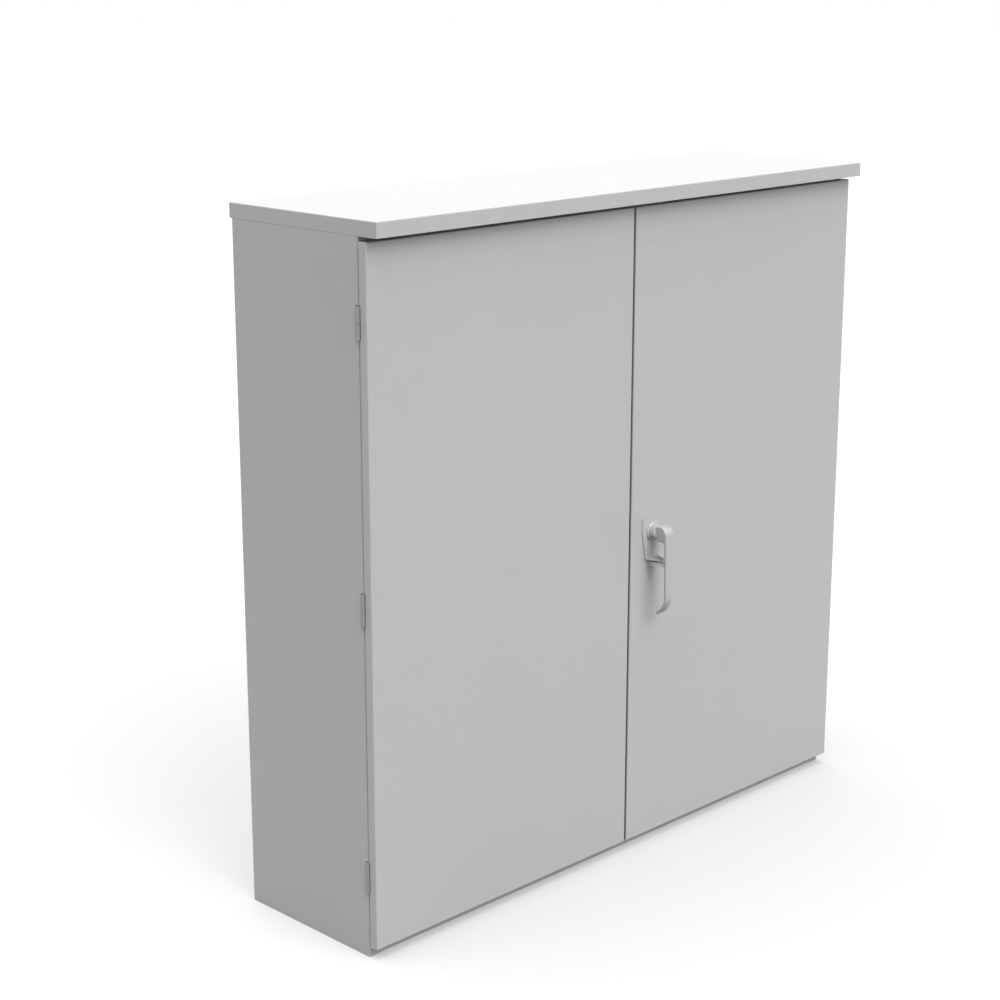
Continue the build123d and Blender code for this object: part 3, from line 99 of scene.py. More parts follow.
# Hot-dip galvanised steel: the zinc freezes into crystals about 8 mm across, each a little lighter or
# duller than the next, under a fine grain and wide, faint clouds from the dip.
galvanised, tree, place = start_material("galvanised_steel")
crystal = add(tree, "ShaderNodeTexVoronoi", {"Vector": place, "Scale": per_size(8)})
dip = add(tree, "ShaderNodeTexNoise", {"Vector": place, "Scale": per_size(170), "Detail": 3.0})
grain = add(tree, "ShaderNodeTexNoise", {"Vector": place, "Scale": per_size(3), "Detail": 3.0})
shade = add(tree, "ShaderNodeSeparateColor", {"Color": crystal.outputs["Color"]})
spangle = add(tree, "ShaderNodeMix", {"Factor": shade.outputs["Red"], "A": linear("#AAADAF"),
                                      "B": linear("#B7BABB")}, data_type="RGBA")
tone = add(tree, "ShaderNodeMix", {"Factor": dip.outputs["Fac"], "A": spangle.outputs["Result"],
                                   "B": linear("#A6A9AB")}, data_type="RGBA")
gloss = add(tree, "ShaderNodeMapRange", {"Value": shade.outputs["Green"], "To Min": 0.4, "To Max": 0.5})
bump = add(tree, "ShaderNodeBump", {"Height": grain.outputs["Fac"], "Strength": 0.12, "Distance": 0.2 * MM})
close_material(tree, {"Base Color": tone.outputs["Result"], "Metallic": 0.85,
                      "Roughness": gloss.outputs["Result"], "Normal": bump.outputs["Normal"]})
dress(galvanised, "rear_base_rail", "left_base_rail", "right_base_rail")

# Body panels
# Side panels, back, top and sill of 1.5 mm sheet steel, folded at the edges and joined into a shell.
# They are powder coated light grey after folding, so the coat runs over every edge.

# Polyester powder coat: a low satin gloss with a faint orange peel. The real peel is about 1 mm from
# crest to crest, which is too fine to show at this distance, so it is drawn 4 mm wide and very shallow.
powder_coat, tree, place = start_material("light_grey_powder_coat")
peel = add(tree, "ShaderNodeTexNoise", {"Vector": place, "Scale": per_size(4), "Detail": 2.0})
cloud = add(tree, "ShaderNodeTexNoise", {"Vector": place, "Scale": per_size(260), "Detail": 2.0})
tone = add(tree, "ShaderNodeMix", {"Factor": cloud.outputs["Fac"], "A": linear("#C8C8C8"),
                                   "B": linear("#CCCCCC")}, data_type="RGBA")
gloss = add(tree, "ShaderNodeMapRange", {"Value": peel.outputs["Fac"], "To Min": 0.42, "To Max": 0.5})
bump = add(tree, "ShaderNodeBump", {"Height": peel.outputs["Fac"], "Strength": 0.05, "Distance": 0.1 * MM})
close_material(tree, {"Base Color": tone.outputs["Result"], "Roughness": gloss.outputs["Result"],
                      "Normal": bump.outputs["Normal"], "IOR": 1.5})
dress(powder_coat, "left_side_panel", "right_side_panel", "back_panel", "top_panel", "front_sill")

# Back rivets
# Ten blind rivets of aluminium that hold the back panel to the folded edges of the sides. Each has a low
# dome with the small hole that its mandrel was pulled through, and is coated with the panel.


def turned(form, points, steps=28):
    """Add a closed round form about the Y axis, from points of radius and height in millimetres."""
    line = [form.verts.new((radius * MM, height * MM, 0)) for radius, height in points]
    edges = [form.edges.new(pair) for pair in zip(line, line[1:])]
    bmesh.ops.spin(form, geom=line + edges, cent=(0, 0, 0), axis=(0, 1, 0), dvec=(0, 0, 0),
                   angle=2 * math.pi, steps=steps, use_merge=True)
    bmesh.ops.remove_doubles(form, verts=form.verts, dist=0.001 * MM)
    bmesh.ops.recalc_face_normals(form, faces=form.faces)


def middles(low, high, half_mm, count):
    """Centres of like pieces spread evenly from low to high, each reaching half its size either way."""
    first = low + half_mm * MM
    last = high - half_mm * MM
    return [first + (last - first) * number / max(count - 1, 1) for number in range(count)]


def copies(form, places):
    """One form with a copy of the given one at each place."""
    pattern = bpy.data.meshes.new("pattern")
    form.to_mesh(pattern)
    form.free()
    whole = bmesh.new()
    for spot in places:
        before = len(whole.verts)
        whole.from_mesh(pattern)
        whole.verts.ensure_lookup_table()
        bmesh.ops.translate(whole, verts=whole.verts[before:], vec=spot)
    bpy.data.meshes.remove(pattern)
    return whole


SHARP_FROM = 34


def fit(form, name, material, body, node):
    """Make a form into a piece that rides on a body and stands for a CAD node."""
    mesh = bpy.data.meshes.new(name)
    form.to_mesh(mesh)
    form.free()
    mesh.materials.append(material)
    mesh.shade_smooth()
    mesh.set_sharp_from_angle(angle=math.radians(SHARP_FROM))
    piece = bpy.data.objects.new(name, mesh)
    bpy.context.collection.objects.link(piece)
    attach(piece, body)
    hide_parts(node)


RIVET_HEAD = 4.8
RIVET_DOME = 1.8
low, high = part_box("back_rivets")
rivet = bmesh.new()
turned(rivet, [(0, 0.7), (1.1, 0.7), (1.25, 1.6), (1.6, RIVET_DOME), (2.7, 1.62), (3.8, 1.15), (4.5, 0.5),
               (RIVET_HEAD, 0), (RIVET_HEAD - 0.1, -0.3), (0, -0.3)])
panel_outside = high.y - RIVET_DOME * MM
rivets = copies(rivet, [(x, panel_outside, z) for x in middles(low.x, high.x, RIVET_HEAD, 2)
                        for z in middles(low.z, high.z, RIVET_HEAD, 5)])
fit(rivets, "back_panel_rivets", powder_coat, "cabinet", "back_rivets")

# Mounting rails, cable rail and plate
# Hat-shaped rails and a flat plate with cut corners, of galvanised sheet, for the equipment inside. The
# rails are welded to the back panel, and the plate is screwed to them.
dress(galvanised, "mounting_rail_left", "mounting_rail_right", "mounting_plate", "cable_rail")

# Plate screws
# Six countersunk machine screws of bright zinc-plated steel, with a hexagon socket. Their heads lie
# flush with the plate, so that equipment sits flat on it.

# Bright zinc plating: a smooth silver skin, a little blue, that goes cloudy in patches some 6 mm wide.
bright_zinc, tree, place = start_material("bright_zinc_plate")
haze = add(tree, "ShaderNodeTexNoise", {"Vector": place, "Scale": per_size(6), "Detail": 3.0})
tone = add(tree, "ShaderNodeMix", {"Factor": haze.outputs["Fac"], "A": linear("#A9ADB2"),
                                   "B": linear("#C3C6C9")}, data_type="RGBA")
gloss = add(tree, "ShaderNodeMapRange", {"Value": haze.outputs["Fac"], "To Min": 0.24, "To Max": 0.4})
bump = add(tree, "ShaderNodeBump", {"Height": haze.outputs["Fac"], "Strength": 0.06, "Distance": 0.1 * MM})
close_material(tree, {"Base Color": tone.outputs["Result"], "Metallic": 1.0,
                      "Roughness": gloss.outputs["Result"], "Normal": bump.outputs["Normal"]})


def hexagon_socket(form, radius_mm):
    """Turn the round hole in a head, up to this radius from the Y axis, into a hexagon."""
    side = math.radians(60)
    for corner in form.verts:
        reach = math.hypot(corner.co.x, corner.co.z)
        if 0 < reach < (radius_mm + 0.01) * MM:
            turn = math.atan2(corner.co.z, corner.co.x) % side - side / 2
            share = math.cos(side / 2) / math.cos(turn)
            corner.co.x *= share
            corner.co.z *= share


PLATE_SCREW_HEAD = 5.6
PLATE_SCREW_SOCKET = 2.6
low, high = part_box("mounting_plate_screws")
screw = bmesh.new()
turned(screw, [(0, 1.9), (PLATE_SCREW_SOCKET, 1.9), (PLATE_SCREW_SOCKET, 0), (PLATE_SCREW_HEAD - 0.2, 0),
               (PLATE_SCREW_HEAD, 0.25), (3.0, 3.0), (0, 3.0)], steps=24)
hexagon_socket(screw, PLATE_SCREW_SOCKET)
screws = copies(screw, [(x, low.y, z) for x in middles(low.x, high.x, PLATE_SCREW_HEAD, 2)
                        for z in middles(low.z, high.z, PLATE_SCREW_HEAD, 3)])
fit(screws, "countersunk_plate_screws", bright_zinc, "cabinet", "mounting_plate_screws")

# Cable rail bolts
# Two zinc-plated hexagon bolts that hold the cable rail to the mounting rails. The head is chamfered at
# the top and sits on a pressed washer face.
BOLT_HEAD = 5.5
BOLT_HEAD_LOW = BOLT_HEAD * math.cos(math.radians(30))


def hexagon_head():
    """Head of a bolt, from its dished top at the origin to the washer face under it."""
    head = bmesh.new()
    turned(head, [(0, 0.35), (3.2, 0.35), (3.5, 0), (4.6, 0), (BOLT_HEAD, 0.75), (BOLT_HEAD, 3.4),
                  (0, 3.4)], steps=6)
    turned(head, [(0, 3.3), (4.7, 3.3), (4.7, 4.0), (0, 4.0)])
    return head


low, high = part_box("cable_rail_bolts")
bolts = copies(hexagon_head(), [(x, low.y, z) for x in middles(low.x, high.x, BOLT_HEAD, 2)
                                for z in middles(low.z, high.z, BOLT_HEAD_LOW, 1)])
fit(bolts, "cable_rail_hexagon_bolts", bright_zinc, "cabinet", "cable_rail_bolts")

# Earth bar
# A length of drawn brass bar, drilled and tapped for five terminal bolts. It stands off the back panel
# on two insulators, below the cable rail, and the earth wires of the equipment end on it.

# Drawn brass: the die leaves fine lines along the bar, a millimetre or so apart, over a warm yellow that
# has begun to dull to brown.
brass, tree, place = start_material("drawn_brass")
along = add(tree, "ShaderNodeMapping", {"Vector": place, "Scale": (0.03, 1.0, 1.0)})
lines = add(tree, "ShaderNodeTexNoise", {"Vector": along.outputs["Vector"], "Scale": per_size(1.2),
                                         "Detail": 2.0})
dull = add(tree, "ShaderNodeTexNoise", {"Vector": place, "Scale": per_size(18), "Detail": 3.0})
tone = add(tree, "ShaderNodeMix", {"Factor": dull.outputs["Fac"], "A": linear("#B89248"),
                                   "B": linear("#D8B86A")}, data_type="RGBA")
gloss = add(tree, "ShaderNodeMapRange", {"Value": lines.outputs["Fac"], "To Min": 0.26, "To Max": 0.44})
bump = add(tree, "ShaderNodeBump", {"Height": lines.outputs["Fac"], "Strength": 0.1, "Distance": 0.1 * MM})
close_material(tree, {"Base Color": tone.outputs["Result"], "Metallic": 1.0,
                      "Roughness": gloss.outputs["Result"], "Normal": bump.outputs["Normal"]})
dress(brass, "earth_bar")

# Earth terminal bolts
# Five zinc-plated hexagon bolts, of the same pattern as the cable rail's, screwed into the brass bar.
# Each clamps the eye of an earth wire under its head.
low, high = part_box("earth_bar_screws")
terminals = copies(hexagon_head(), [(x, low.y, z) for x in middles(low.x, high.x, BOLT_HEAD, 5)
                                    for z in middles(low.z, high.z, BOLT_HEAD_LOW, 1)])
fit(terminals, "earth_terminal_bolts", bright_zinc, "cabinet", "earth_bar_screws")

# Earth posts
# Two round insulators moulded in black nylon, with a threaded insert at each end, that carry the earth
# bar. Their two ribs make the path over the surface longer.

# Black nylon moulding: glass-filled, so the skin is matt with a fine fibre grain about 1.5 mm long.
nylon, tree, place = start_material("black_nylon_moulding")
fibre = add(tree, "ShaderNodeTexNoise", {"Vector": place, "Scale": per_size(1.5), "Detail": 3.0})
tone = add(tree, "ShaderNodeMix", {"Factor": fibre.outputs["Fac"], "A": linear("#1C1C1D"),
                                   "B": linear("#2A2A2B")}, data_type="RGBA")
gloss = add(tree, "ShaderNodeMapRange", {"Value": fibre.outputs["Fac"], "To Min": 0.42, "To Max": 0.6})
bump = add(tree, "ShaderNodeBump", {"Height": fibre.outputs["Fac"], "Strength": 0.15, "Distance": 0.1 * MM})
close_material(tree, {"Base Color": tone.outputs["Result"], "Roughness": gloss.outputs["Result"],
                      "Normal": bump.outputs["Normal"], "IOR": 1.53})

POST_RADIUS = 8.0
POST_WAIST = 5.8
low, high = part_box("earth_bar_posts")
post = bmesh.new()
turned(post, [(0, 0), (6.6, 0), (7.2, 0.6), (7.2, 3.4), (POST_WAIST, 4.6), (POST_WAIST, 6.4), (7.6, 8.2),
              (POST_RADIUS, 8.8), (POST_RADIUS, 10.4), (7.6, 11.0), (POST_WAIST, 12.6), (POST_WAIST, 17.4),
              (7.6, 19.0), (POST_RADIUS, 19.6), (POST_RADIUS, 21.2), (7.6, 21.8), (POST_WAIST, 23.6),
              (POST_WAIST, 25.4), (7.2, 26.6), (7.2, 29.4), (6.6, 30.0), (0, 30.0)], steps=40)
posts = copies(post, [(x, low.y, z) for x in middles(low.x, high.x, POST_RADIUS, 2)
                      for z in middles(low.z, high.z, POST_RADIUS, 1)])
fit(posts, "ribbed_earth_posts", nylon, "cabinet", "earth_bar_posts")

# Roof
# A flat canopy of powder-coated sheet with a folded rim, wider than the body at the front. It rests on
# two galvanised bearers on the top panel, and its welded studs go down through them.
dress(galvanised, "roof_bearer_front", "roof_bearer_back")
dress(powder_coat, "roof")

# Roof nuts
# Four zinc-plated hexagon nuts on washers, run on to the roof's studs from inside the cabinet, so that
# the roof can't be taken off from outside. The end of each stud shows in its nut.
NUT_REACH = 7.5
NUT_REACH_LOW = NUT_REACH * math.cos(math.radians(30))
low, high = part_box("roof_nuts")
nut = bmesh.new()
turned(nut, [(0, 0.9), (4.2, 0.9), (4.6, 0.1), (6.3, 0.1), (NUT_REACH, 1.0), (NUT_REACH, 5.3), (0, 5.3)],
       steps=6)
turned(nut, [(0, 0), (3.2, 0), (3.9, 0.7), (3.9, 2.0), (0, 2.0)])
turned(nut, [(0, 5.2), (6.4, 5.2), (6.4, 6.5), (0, 6.5)])
bmesh.ops.rotate(nut, verts=nut.verts, cent=(0, 0, 0), matrix=Matrix.Rotation(math.radians(90), 3, "X"))
nuts = copies(nut, [(x, y, low.z) for x in middles(low.x, high.x, NUT_REACH, 2)
                    for y in middles(low.y, high.y, NUT_REACH_LOW, 2)])
fit(nuts, "roof_stud_nuts", bright_zinc, "cabinet", "roof_nuts")

# Hinges
# Three rolled butt hinges to a door, of plain steel with a dull zinc plating. One leaf is welded to the
# side panel and one to the door's edge, and a loose pin goes through both.

# Dull zinc plating: a soft grey that handling has darkened, in blotches about 10 mm wide.
dull_zinc, tree, place = start_material("dull_zinc_plate")
blotch = add(tree, "ShaderNodeTexNoise", {"Vector": place, "Scale": per_size(10), "Detail": 3.0})
tone = add(tree, "ShaderNodeMix", {"Factor": blotch.outputs["Fac"], "A": linear("#929293"),
                                   "B": linear("#A2A2A3")}, data_type="RGBA")
gloss = add(tree, "ShaderNodeMapRange", {"Value": blotch.outputs["Fac"], "To Min": 0.42, "To Max": 0.56})
bump = add(tree, "ShaderNodeBump", {"Height": blotch.outputs["Fac"], "Strength": 0.06,
                                    "Distance": 0.1 * MM})
close_material(tree, {"Base Color": tone.outputs["Result"], "Metallic": 0.4,
                      "Roughness": gloss.outputs["Result"], "Normal": bump.outputs["Normal"]})
dress(dull_zinc, "left_hinge_frame_halves", "right_hinge_frame_halves", "left_hinge_door_halves",
      "right_hinge_door_halves", "left_hinge_pins", "right_hinge_pins")

# Doors
# Two trays of folded sheet, each with an upright stiffener welded behind it, powder coated as the body
# is. They hang on the hinges and meet in the middle with a narrow gap.
dress(powder_coat, "left_door_panel", "right_door_panel", "left_door_stiffener", "right_door_stiffener")

# Door seals
# A strip of black foam rubber with a rounded back, glued round three sides of each door's inside. It is
# squeezed against the lips of the body when the door is shut.

# Foamed EPDM rubber: nearly black and matt, with open pores. They are well under a millimetre across, so
# they are drawn 1.6 mm wide to show.
foam, tree, place = start_material("foamed_rubber")
pore = add(tree, "ShaderNodeTexVoronoi", {"Vector": place, "Scale": per_size(1.6)})
tone = add(tree, "ShaderNodeMix", {"Factor": pore.outputs["Distance"], "A": linear("#18181A"),
                                   "B": linear("#2B2B2D")}, data_type="RGBA")
gloss = add(tree, "ShaderNodeMapRange", {"Value": pore.outputs["Distance"], "To Min": 0.9, "To Max": 0.7})
bump = add(tree, "ShaderNodeBump", {"Height": pore.outputs["Distance"], "Strength": 0.35,
                                    "Distance": 0.3 * MM})
close_material(tree, {"Base Color": tone.outputs["Result"], "Roughness": gloss.outputs["Result"],
                      "Normal": bump.outputs["Normal"], "IOR": 1.5})

SEAL_WIDTH = 12 * MM
SEAL_ROUND = 4.5 * MM
CORNER_ANGLE = 1.0
for side, outer, inner in (("left", 0, 1), ("right", 1, 0)):
    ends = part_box(side + "_door_seal")
    low, high = ends
    hinge_side = ends[outer].x
    meeting_side = ends[inner].x
    inward = math.copysign(SEAL_WIDTH, meeting_side - hinge_side)
    strip = bmesh.new()
    rim = [strip.verts.new((x, low.y, z)) for x, z in ((meeting_side, low.z), (hinge_side, low.z),
                                                       (hinge_side, high.z), (meeting_side, high.z))]
    inside = [strip.verts.new((x, low.y, z)) for x, z in ((meeting_side, low.z + SEAL_WIDTH),
                                                          (hinge_side + inward, low.z + SEAL_WIDTH),
                                                          (hinge_side + inward, high.z - SEAL_WIDTH),
                                                          (meeting_side, high.z - SEAL_WIDTH))]
    for number in range(3):
        strip.faces.new((rim[number], rim[number + 1], inside[number + 1], inside[number]))
    lifted = bmesh.ops.extrude_face_region(strip, geom=strip.faces[:], use_keep_orig=True)
    back = [part for part in lifted["geom"] if isinstance(part, bmesh.types.BMVert)]
    bmesh.ops.translate(strip, verts=back, vec=(0, high.y - low.y, 0))
    bmesh.ops.recalc_face_normals(strip, faces=strip.faces)
    ridge = [edge for edge in strip.edges if all(corner in back for corner in edge.verts)
             and edge.calc_face_angle(0) > CORNER_ANGLE]
    bmesh.ops.bevel(strip, geom=ridge, offset=SEAL_ROUND, segments=5, profile=0.5, affect="EDGES",
                    material=-1)
    fit(strip, side + "_door_foam_seal", foam, side + "_door", side + "_door_seal")

# Meeting seal
# A solid rubber strip pushed on to the left-hand door's free edge. Its rounded nose closes the gap to
# the right-hand door, and shows in it as a dark line.

# Solid EPDM rubber: black, smooth from the die, with a faint bloom in patches about 25 mm long.
rubber, tree, place = start_material("solid_rubber")
bloom = add(tree, "ShaderNodeTexNoise", {"Vector": place, "Scale": per_size(25), "Detail": 3.0})
tone = add(tree, "ShaderNodeMix", {"Factor": bloom.outputs["Fac"], "A": linear("#202021"),
                                   "B": linear("#2E2E30")}, data_type="RGBA")
gloss = add(tree, "ShaderNodeMapRange", {"Value": bloom.outputs["Fac"], "To Min": 0.5, "To Max": 0.68})
bump = add(tree, "ShaderNodeBump", {"Height": bloom.outputs["Fac"], "Strength": 0.05, "Distance": 0.1 * MM})
close_material(tree, {"Base Color": tone.outputs["Result"], "Roughness": gloss.outputs["Result"],
                      "Normal": bump.outputs["Normal"], "IOR": 1.5})

NOSE_ROUND = 2.2 * MM
low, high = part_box("meeting_seal")
nose = bmesh.new()
bmesh.ops.create_cube(nose, size=1.0)
bmesh.ops.scale(nose, verts=nose.verts, vec=high - low)
bmesh.ops.translate(nose, verts=nose.verts, vec=(low + high) / 2)
leading = [edge for edge in nose.edges if all(corner.co.x > (low.x + high.x) / 2 for corner in edge.verts)
           and abs(edge.verts[0].co.z - edge.verts[1].co.z) > MM]
bmesh.ops.bevel(nose, geom=leading, offset=NOSE_ROUND, segments=5, profile=0.5, affect="EDGES",
                material=-1)
fit(nose, "meeting_rubber_seal", rubber, "left_door", "meeting_seal")

# Bolts of the left-hand door
# Two sliding steel bolts in bent straps at the top and bottom of the door that shuts first, all bright
# zinc plated. They are pushed into the frame by hand before the right-hand door is closed.
dress(bright_zinc, "left_top_bolt", "left_bottom_bolt", "left_top_bolt_bracket",
      "left_bottom_bolt_bracket")

# Handle plate
# A pressed steel plate under the handle, folded forward at the bottom into a shelf with a hole for a
# padlock. It is coated as the door is, and screwed on from inside.

# The same polyester powder coat, with painted shade on whatever faces up: the shelf and, darker still, the
# top edge are painted a duller, darker grey, uneven in spots about 7 mm wide.
SHELF_LEVEL = 560 * MM
TOP_EDGE_LEVEL = 600 * MM
painted_shade_coat, tree, place = start_material("powder_coat_painted_shade")
peel = add(tree, "ShaderNodeTexNoise", {"Vector": place, "Scale": per_size(4), "Detail": 2.0})
spots = add(tree, "ShaderNodeTexNoise", {"Vector": place, "Scale": per_size(7), "Detail": 3.0})
facing = add(tree, "ShaderNodeSeparateXYZ", {"Vector": place.node.outputs["Normal"]})
# Painted shade: the faces that look up, the shelf and most of all the top edge, are mixed towards a darker
# grey.
upward = add(tree, "ShaderNodeMapRange", {"Value": facing.outputs["Z"], "From Min": 0.25, "From Max": 0.8})
height = add(tree, "ShaderNodeSeparateXYZ", {"Vector": place})
depth = add(tree, "ShaderNodeMapRange", {"Value": height.outputs["Z"], "From Min": SHELF_LEVEL,
                                         "From Max": TOP_EDGE_LEVEL, "To Min": 1.0, "To Max": 1.65})
painted_shade_mask = add(tree, "ShaderNodeMapRange", {"Value": spots.outputs["Fac"], "To Min": 0.3, "To Max": 0.64})
painted_shade_mask = add(tree, "ShaderNodeMath", {0: painted_shade_mask.outputs["Result"], 1: depth.outputs["Result"]},
           operation="MULTIPLY")
painted_shade_mask = add(tree, "ShaderNodeMath", {0: painted_shade_mask.outputs["Value"], 1: upward.outputs["Result"]},
           operation="MULTIPLY")
tone = add(tree, "ShaderNodeMix", {"Factor": painted_shade_mask.outputs["Value"], "A": linear("#CACACA"),
                                   "B": linear("#999897")}, data_type="RGBA")
gloss = add(tree, "ShaderNodeMapRange", {"Value": painted_shade_mask.outputs["Value"], "To Min": 0.46, "To Max": 0.9})
bump = add(tree, "ShaderNodeBump", {"Height": peel.outputs["Fac"], "Strength": 0.05, "Distance": 0.1 * MM})
close_material(tree, {"Base Color": tone.outputs["Result"], "Roughness": gloss.outputs["Result"],
                      "Normal": bump.outputs["Normal"], "IOR": 1.5})
dress(painted_shade_coat, "handle_plate")

# Handle
# A zinc die-cast swing lever that turns in a round collar, with a lug under it that lines up with the hole
# in the shelf. It is plated in matt chrome and fixed to the lock's spindle.

# Matt chrome over a zinc casting, etched so fine that it scatters most of the light and mirrors little. A
# ripple of the casting, about 9 mm wide, breaks it up, and whatever faces down is painted darker as shade.
matt_chrome, tree, place = start_material("matt_chromed_zinc")
ripple = add(tree, "ShaderNodeTexNoise", {"Vector": place, "Scale": per_size(9), "Detail": 2.0})
facing = add(tree, "ShaderNodeSeparateXYZ", {"Vector": place.node.outputs["Normal"]})
# Painted shade: faces that look down are mixed towards a dark grey.
painted_underside_shade = add(tree, "ShaderNodeMapRange", {"Value": facing.outputs["Z"], "From Min": -0.05, "From Max": -0.6,
                                         "To Min": 0.0, "To Max": 0.85})
own_tone = add(tree, "ShaderNodeMix", {"Factor": ripple.outputs["Fac"], "A": linear("#C1C1C1"),
                                    "B": linear("#C7C7C7")}, data_type="RGBA")
tone = add(tree, "ShaderNodeMix", {"Factor": painted_underside_shade.outputs["Result"], "A": own_tone.outputs["Result"],
                                   "B": linear("#868584")}, data_type="RGBA")
gloss = add(tree, "ShaderNodeMapRange", {"Value": ripple.outputs["Fac"], "To Min": 0.32, "To Max": 0.4})
bump = add(tree, "ShaderNodeBump", {"Height": ripple.outputs["Fac"], "Strength": 0.05,
                                    "Distance": 0.1 * MM})
close_material(tree, {"Base Color": tone.outputs["Result"], "Metallic": 0.15,
                      "Roughness": gloss.outputs["Result"], "Normal": bump.outputs["Normal"]})
dress(matt_chrome, "handle_collar", "padlock_lug")

# The lever's side is drawn by its corners, each a distance out from the door and a height over the axis.
# The nose, the throat and the curl at the foot are then rounded, and the foot is made narrower.
LEVER_OUT = 43.0
LEVER_BACK = 38.0
LEVER_HALF = 10.5
LEVER_EDGE = 1.5
HEAD_TOP = 14.0
HEAD_BOTTOM = -13.0
FOOT_OUT = 20.5
FOOT_TOP = -142.0
FOOT_CORNER = 4.0
HUB_RADIUS = 13.5
HUB_OUT = 20.0
TAPER_START = -20.0
TAPER_LENGTH = 130.0
TAPER_SHARE = 0.33
low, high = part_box("handle_lever")
lever = bmesh.new()
corners = [lever.verts.new((0, -out * MM, up * MM)) for out, up in
           ((HUB_OUT, HEAD_TOP), (LEVER_OUT, HEAD_TOP), (LEVER_OUT, -137.1), (20.1, -148.3), (17.5, -142.9),
            (LEVER_BACK, -132.9), (LEVER_BACK, HEAD_BOTTOM), (HUB_OUT, HEAD_BOTTOM))]
lever.faces.new(corners)
for number, rounding in ((1, 15.5), (2, 23.0), (5, 18.0), (6, 7.0)):
    bmesh.ops.bevel(lever, geom=[corners[number]], offset=rounding * MM, segments=10, profile=0.5,
                    affect="VERTICES", material=-1)
grown = bmesh.ops.extrude_face_region(lever, geom=lever.faces[:], use_keep_orig=True)
far = [part for part in grown["geom"] if isinstance(part, bmesh.types.BMVert)]
bmesh.ops.translate(lever, verts=far, vec=(2 * LEVER_HALF * MM, 0, 0))
bmesh.ops.translate(lever, verts=lever.verts, vec=(-LEVER_HALF * MM, 0, 0))
bmesh.ops.recalc_face_normals(lever, faces=lever.faces)
for corner in lever.verts:
    corner.co.x *= 1 - TAPER_SHARE * max(0, TAPER_START - corner.co.z / MM) / TAPER_LENGTH
foot = [edge for edge in lever.edges if all(corner.co.y > -FOOT_OUT * MM and corner.co.z < FOOT_TOP * MM
                                            for corner in edge.verts)
        and abs(edge.verts[0].co.x - edge.verts[1].co.x) < MM]
bmesh.ops.bevel(lever, geom=foot, offset=FOOT_CORNER * MM, segments=5, profile=0.5, affect="EDGES",
                material=-1)
sharp = [edge for edge in lever.edges if edge.calc_face_angle(0) > CORNER_ANGLE]
bmesh.ops.bevel(lever, geom=sharp, offset=LEVER_EDGE * MM, segments=3, profile=0.5, affect="EDGES",
                material=-1)
turned(lever, [(0, -7.3), (HUB_RADIUS - 0.6, -7.3), (HUB_RADIUS, -7.9), (HUB_RADIUS, -17.4),
               (10.7, -HUB_OUT), (0, -HUB_OUT - 1)], steps=48)
bmesh.ops.translate(lever, verts=lever.verts, vec=(high.x - HUB_RADIUS * MM, low.y + LEVER_OUT * MM,
                                                   high.z - HUB_RADIUS * MM))
fit(lever, "cast_swing_lever", matt_chrome, "handle", "handle_lever")

# Lock
# A die-cast aluminium housing with a zinc-plated cover, held inside the door by two nuts and four screws.
# In it the handle's spindle turns a pinion, which drives one rod up and one down.

# Die-cast aluminium, as cast: pale grey with a matt, slightly pebbled skin, grains about 2 mm wide.
casting, tree, place = start_material("die_cast_aluminium")
pebble = add(tree, "ShaderNodeTexNoise", {"Vector": place, "Scale": per_size(2), "Detail": 3.0})
flow = add(tree, "ShaderNodeTexNoise", {"Vector": place, "Scale": per_size(30), "Detail": 2.0})
tone = add(tree, "ShaderNodeMix", {"Factor": flow.outputs["Fac"], "A": linear("#A2A3A5"),
                                   "B": linear("#B6B7B8")}, data_type="RGBA")
gloss = add(tree, "ShaderNodeMapRange", {"Value": pebble.outputs["Fac"], "To Min": 0.46, "To Max": 0.62})
bump = add(tree, "ShaderNodeBump", {"Height": pebble.outputs["Fac"], "Strength": 0.2,
                                    "Distance": 0.15 * MM})
close_material(tree, {"Base Color": tone.outputs["Result"], "Metallic": 0.9,
                      "Roughness": gloss.outputs["Result"], "Normal": bump.outputs["Normal"]})
dress(casting, "lock_housing")
dress(bright_zinc, "lock_cover", "handle_plate_screws", "spindle", "lock_pinion")

# Lock nuts
# Two zinc-plated hexagon nuts on washers that hold the lock's housing to studs welded inside the door.
# The end of each stud shows in its nut.
low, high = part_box("lock_housing_nuts")
nut = bmesh.new()
turned(nut, [(0, 1.2), (2.9, 1.2), (3.2, 0.1), (4.6, 0.1), (BOLT_HEAD, 0.8), (BOLT_HEAD, 4.2), (0, 4.2)],
       steps=6)
turned(nut, [(0, 0), (2.1, 0), (2.7, 0.6), (2.7, 2.0), (0, 2.0)])
turned(nut, [(0, 4.1), (4.7, 4.1), (4.7, 5.0), (0, 5.0)])
bmesh.ops.rotate(nut, verts=nut.verts, cent=(0, 0, 0), matrix=Matrix.Rotation(math.pi, 3, "Z"))
nuts = copies(nut, [(x, high.y, z) for x in middles(low.x, high.x, BOLT_HEAD, 1)
                    for z in middles(low.z, high.z, BOLT_HEAD_LOW, 2)])
fit(nuts, "lock_stud_nuts", bright_zinc, "right_door", "lock_housing_nuts")

